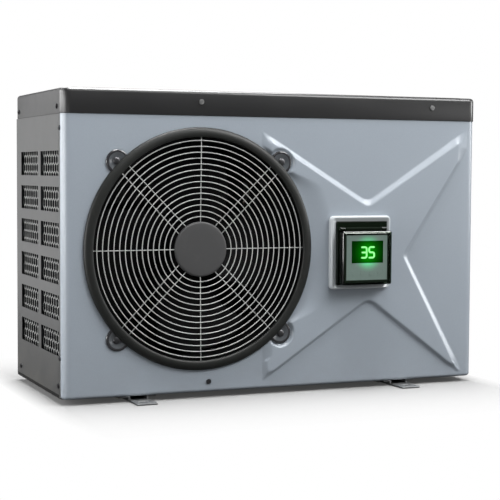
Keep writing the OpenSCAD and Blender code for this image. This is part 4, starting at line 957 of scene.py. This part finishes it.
# ------------------------------------------------------------------ coil
def coil():
    """Wavy fins along the rear and left sides: each zigzags through the coil's depth."""
    pitch, wave, half_thickness, half_depth = 2.1, 1.05, 0.13, 12.9
    rear_y, left_x = DEPTH - 24.1, 27.0             # middle of the coil's depth
    bend_x, bend_y = 49.0, DEPTH - 46.1             # centre of the bend between the sides
    bend_zigzag = ((9.2, -0.5), (22.0, 0.9), (34.8, -1.2))    # radius, sideways shift
    bag = Bag()

    def fin(points, across_x, across_y):
        """Thin upright sheet through (x, y) points, thickened along a unit direction."""
        across_x, across_y = across_x * half_thickness, across_y * half_thickness
        verts = [place(x + side * across_x, y + side * across_y, z)
                 for side in (1, -1) for x, y in points for z in (6.5, 431.5)]
        n = len(points)
        faces = []
        for k in range(n - 1):
            a, b = 2 * k, 2 * (n + k)
            faces += [(a, a + 1, a + 3, a + 2), (b, b + 2, b + 3, b + 1),
                      (a, a + 2, b + 2, b), (a + 1, b + 1, b + 3, a + 3)]
        faces += [(0, 2 * n, 2 * n + 1, 1), (2 * n - 2, 2 * n - 1, 4 * n - 1, 4 * n - 2)]
        bag.add(verts, faces)

    for x in np.arange(50.9, 403.6, pitch):
        fin([(x - wave, rear_y - half_depth), (x + wave, rear_y),
             (x - wave, rear_y + half_depth)], 1, 0)
    for y in np.arange(48.3, DEPTH - 47.4, pitch):
        fin([(left_x - half_depth, y - wave), (left_x, y + wave),
             (left_x + half_depth, y - wave)], 0, 1)
    for i in range(1, 24):
        angle = math.radians(90 + 90 * i / 24)
        out_x, out_y = math.cos(angle), math.sin(angle)
        side_x, side_y = -out_y, out_x
        fin([(bend_x + out_x * radius + side_x * shift, bend_y + out_y * radius + side_y * shift)
             for radius, shift in bend_zigzag], side_x, side_y)
    bag.build("coil_fin_stack", "coated_fin", replaces="evaporator_fins", smooth=False)


coil()


# ------------------------------------------------------------------ rear guard
def rear_guard():
    bag = Bag()
    for i in range(16):
        x = 31 + 26 * i
        bag.rod((x, DEPTH + 1.4, 31), (x, DEPTH + 1.4, 433), radius=1.4, sides=8)
    for j in range(12):
        z = 33 + 36.2 * j
        bag.rod((29, DEPTH + 3.9, z), (425, DEPTH + 3.9, z), radius=1.3, sides=8)
    bag.build("rear_wire_guard", "black_plastic", replaces="rear_coil_guard")


rear_guard()


# ------------------------------------------------------------------ display
def display_surround():
    outer, inner = (451.0, 159.5, 562.0, 281.5), (461.4, 166.8, 554.6, 272.2)
    # share of the way from outer to inner outline, y from the pressed face, corner radius
    stations = [(0.0, 0.2, 7), (0.0, -5.2, 7), (0.03, -6.6, 6.8), (0.10, -7.8, 6.4),
                (0.20, -8.5, 5.8), (0.30, -8.7, 5.2), (0.42, -8.4, 4.4), (0.62, -7.2, 3.2),
                (0.85, -6.0, 2.2), (0.97, -5.6, 1.6), (1.0, -5.2, 1.4), (1.0, 0.2, 1.4)]
    rings = []
    for share, y, radius in stations:
        edges = [a + (b - a) * share for a, b in zip(outer, inner)]
        rings.append([place(x, y - PRESS, z) for x, z in
                      rounded_rectangle(*edges, radius=radius, steps=8)])
    bag = Bag()
    bag.loft(rings, closed=True)
    bag.build("display_surround", "silver_plastic", replaces="display_frame", sharp=50)


def flip_cover():
    # from the inside, round the open rear edge, to the front: inset, y, corner radius
    stations = [(6, -31.3, 1.0), (1.9, -31.2, 1.2), (1.6, -30.8, 1.5), (1.6, -14.6, 1.5),
                (1.3, -14.25, 1.8), (0.3, -14.25, 2.7), (0, -14.6, 3.0), (0, -31.2, 3.0),
                (0.25, -32.2, 2.8), (0.9, -32.8, 2.3), (1.7, -33.0, 1.6), (6, -33.0, 1.0)]
    bag = Bag()
    bag.loft([[place(x, y, z) for x, z in
               rounded_rectangle(463 + inset, 168 + inset, 554 - inset, 256.5 - inset,
                                 radius=radius, steps=5)]
              for inset, y, radius in stations])
    bag.build("flip_cover", "smoked_clear", body="display_cover", replaces="display_cover",
              sharp=60)


def flip_cover_hinge():
    """A barrel with a thinner pin at each end and a strip below it."""
    bag = Bag()
    for x0, x1, radius, sides in ((475, 541, 2.8, 20), (466, 475.2, 1.45, 14),
                                  (540.8, 550, 1.45, 14)):
        bag.rod((x0, -18, 260), (x1, -18, 260), radius, sides, dome=0.2)
    bag.box((475.2, -20.6, 256.7), (540.8, -18.6, 258.9))
    bag.build("flip_cover_hinge", "hinge_black", slot="gloss_black", body="display_cover",
              sharp=40)


def ribbon(points, half_width):
    """Outline of a round-ended stroke along a line of points."""
    points = [Vector(p) for p in points]
    angles = [math.pi * k / 6 for k in range(1, 6)]
    left, right = [], []
    for i, point in enumerate(points):
        along = (points[min(i + 1, len(points) - 1)] - points[max(i - 1, 0)]).normalized()
        offset = Vector((-along.y, along.x)) * half_width
        left.append(point + offset)
        right.append(point - offset)
    first, last = (points[1] - points[0]).normalized(), (points[-1] - points[-2]).normalized()
    first_side, last_side = Vector((-first.y, first.x)), Vector((-last.y, last.x))
    end = [points[-1] + (last_side * math.cos(t) + last * math.sin(t)) * half_width
           for t in angles]
    start = [points[0] + (-first_side * math.cos(t) - first * math.sin(t)) * half_width
             for t in angles]
    return left + end + list(reversed(right)) + start


def digits():
    """The digits 3 and 5; each later stroke stands a little further forward."""
    width, height, bend, base_z = 9.4, 17.4, 3.1, 212.6
    middle = height / 2

    def arc(x, z, first, last, steps=7):
        angles = [math.radians(first + (last - first) * k / steps) for k in range(steps + 1)]
        return [(x + bend * math.cos(a), z + bend * math.sin(a)) for a in angles]

    lower_bowl = arc(width - bend, bend, 0, -90) + [(0.6, 0)]
    three = [
        [(0.6, height)] + arc(width - bend, height - bend, 90, 0) + [(width, middle)],
        [(width, middle - 0.02)] + lower_bowl,
        [(1.4, middle), (width - 0.4, middle)]]
    five = [
        [(width - 0.6, height)] + arc(bend, height - bend, 90, 180)
        + arc(bend, middle + bend, 180, 270) + arc(width - bend, middle - bend, 90, 0)
        + lower_bowl]
    bag = Bag()
    for left_x, strokes in ((499.2, three), (513.2, five)):
        for k, stroke in enumerate(strokes):
            outline = ribbon(stroke, half_width=1.42)
            bag.loft([[place(left_x + p.x, y, base_z + p.y) for p in outline]
                      for y in (-29.18, -29.55 - 0.01 * k)])
    bag.build("lit_segments", "led_green", replaces="led_digits")


display_surround()
flip_cover()
flip_cover_hinge()
digits()


# ------------------------------------------------------------------ camera
def add_camera():
    data = bpy.data.cameras.new("cam")
    data.lens = 98.85
    data.sensor_width = 36.0
    data.clip_start = 0.05
    data.clip_end = 60
    camera = bpy.data.objects.new("cam", data)
    bpy.context.scene.collection.objects.link(camera)
    azimuth, elevation, roll = (math.radians(a) for a in (-22.888, 3.319, 0.296))
    back = Vector((math.sin(azimuth) * math.cos(elevation),
                   -math.cos(azimuth) * math.cos(elevation), math.sin(elevation)))
    right = (-back).cross(Vector((0, 0, 1))).normalized()
    up = right.cross(-back)
    rolled_right = right * math.cos(roll) + up * math.sin(roll)
    rolled_up = -right * math.sin(roll) + up * math.cos(roll)
    matrix = Matrix((rolled_right, rolled_up, back)).transposed().to_4x4()
    matrix.translation = Vector(place(-551.7, -2044.19, 355.92))
    camera.matrix_world = matrix
    bpy.context.scene.camera = camera


add_camera()


# ------------------------------------------------------------------ floor
def floor_material():
    """Painted shadow: grey under the unit, fading to white round it; other rays see a darker
    floor.
    """
    middle_x, half_x, half_y = 0.006, 0.362, 0.15   # area of the painted shadow that stays grey
    side_fade = 6.5                                 # how much faster the painted shadow fades sideways
    fill, dim_grey, left_glow = 0.03, 0.045, 0.74
    mat = Shader("floor")
    painted_shadow_grey = mat.mix(mat.noise(scale=1.5), (0.28, 0.28, 0.28), (0.30, 0.30, 0.30))
    x, y, _ = mat.split()

    def beyond(position, half):
        past = mat.math("SUBTRACT", mat.math("ABSOLUTE", position), half)
        return mat.math("MAXIMUM", past, 0.0)

    off_x = mat.math("MULTIPLY", beyond(mat.math("SUBTRACT", x, middle_x), half_x), side_fade)
    off_y = beyond(y, half_y)
    distance = mat.math("SQRT", mat.math("ADD", mat.math("MULTIPLY", off_x, off_x),
                                         mat.math("MULTIPLY", off_y, off_y)))
    fade = mat.math("POWER", mat.ramp(distance, over=(-0.004, 0.29)), 0.92)
    shadowed_near = mat.add("AddShader", {0: mat.add("BsdfDiffuse", {"Color": painted_shadow_grey}),
                                 1: mat.add("Emission", {"Strength": fill})})
    white = mat.add("Emission", {"Color": WHITE, "Strength": 1.0})
    seen = mat.mix_shaders(fade, shadowed_near, white)
    # a glowing band to the left of the unit lights its side
    band = mat.math("MULTIPLY", mat.ramp(x, over=(-0.62, -0.80)),
                    mat.ramp(x, over=(-2.6, -2.3), to=(0.0, left_glow)))
    dim = mat.add("AddShader", {
        0: mat.add("BsdfDiffuse", {"Color": (dim_grey, dim_grey, dim_grey, 1)}),
        1: mat.add("Emission", {"Strength": band})})
    mat.surface(mat.mix_shaders(mat.camera_ray(), dim, seen))


def add_floor():
    floor_material()
    mesh = bpy.data.meshes.new("floor")
    mesh.from_pydata([(-9, -6, 0), (9, -6, 0), (9, 12, 0), (-9, 12, 0)], [], [(0, 1, 2, 3)])
    floor = bpy.data.objects.new("floor", mesh)
    floor.location = (0, 0, -0.0004)
    mesh.materials.append(materials["floor"])
    bpy.context.scene.collection.objects.link(floor)
    floor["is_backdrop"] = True


add_floor()


# ------------------------------------------------------------------ world and lights
def add_world():
    """White to the camera; other rays see light that grows with height."""
    world = bpy.data.worlds.new("studio")
    bpy.context.scene.world = world
    tree = Tree(world, "OutputWorld", "Generated")
    strength = tree.ramp(tree.split()[2], over=(-0.15, 0.75), to=(0.03, 0.22))
    sky = tree.add("Background", {"Color": (0.97, 0.99, 1.0, 1), "Strength": strength})
    white = tree.add("Background", {"Color": WHITE, "Strength": 1.0})
    tree.surface(tree.mix_shaders(tree.camera_ray(), sky, white))


add_world()

# Area lights: name, location, point aimed at, width and height, power in watts
LIGHTS = [
    ("key", (1.49, -1.59, 2.03), (0.05, -0.1, 0.22), (1.6, 1.2), 69),
    ("right_box", (2.62, -0.66, 0.74), (0.3, -0.15, 0.2), (0.85, 0.9), 23),
    ("right_low", (2.05, -1.95, 0.34), (0.3, -0.15, 0.24), (0.9, 0.6), 3),
    ("high_front", (-0.12, -2.05, 1.95), (0.05, -0.1, 0.25), (1.0, 0.5), 8),
    ("left_wall", (-2.3, 0.65, 0.80), (-0.36, 0.0, 0.25), (2.4, 1.3), 60),
    ("front_left", (-2.55, -0.85, 0.36), (-0.3, -0.15, 0.22), (1.5, 0.68), 22),
    ("back_left", (-1.6, 2.7, 0.9), (-0.36, 0.0, 0.35), (1.8, 1.4), 5),
    ("back_top", (0.0, 1.5, 2.3), (0, 0, 0.45), (2.4, 1.3), 64),
    ("top", (0.1, -0.05, 2.6), (0, 0, 0.3), (1.8, 0.9), 125),
]
for name, location, target, size, power in LIGHTS:
    data = bpy.data.lights.new(name, "AREA")
    data.shape = "RECTANGLE"
    data.size, data.size_y = size
    data.energy = power
    light = bpy.data.objects.new(name, data)
    light.location = location
    aim = Vector(target) - Vector(location)
    light.rotation_euler = aim.to_track_quat("-Z", "Y").to_euler()
    bpy.context.scene.collection.objects.link(light)
for obj in bpy.context.scene.objects:
    if obj.type == "LIGHT":
        obj.visible_camera = False

# ------------------------------------------------------------------ render settings
scene = bpy.context.scene
scene.view_settings.view_transform = "Standard"
scene.view_settings.look = "None"
scene.view_settings.exposure = 0.0
scene.view_settings.gamma = 1.0
# guards against a Blender without Cycles, where scene.cycles is missing
try:
    scene.cycles.use_denoising = True
    scene.cycles.transparent_max_bounces = 16
except Exception:
    pass


def plain(value):
    """Vectors, arrays and their numbers as plain lists and floats for JSON."""
    if isinstance(value, dict):
        return {key: plain(item) for key, item in value.items()}
    if hasattr(value, "__len__") and not isinstance(value, str):
        return [plain(item) for item in value]
    return float(value) if isinstance(value, (int, float, np.floating, np.integer)) else value


bpy.context.view_layer.update()
{"cad": plain(size_before), "visual": plain(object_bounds())}
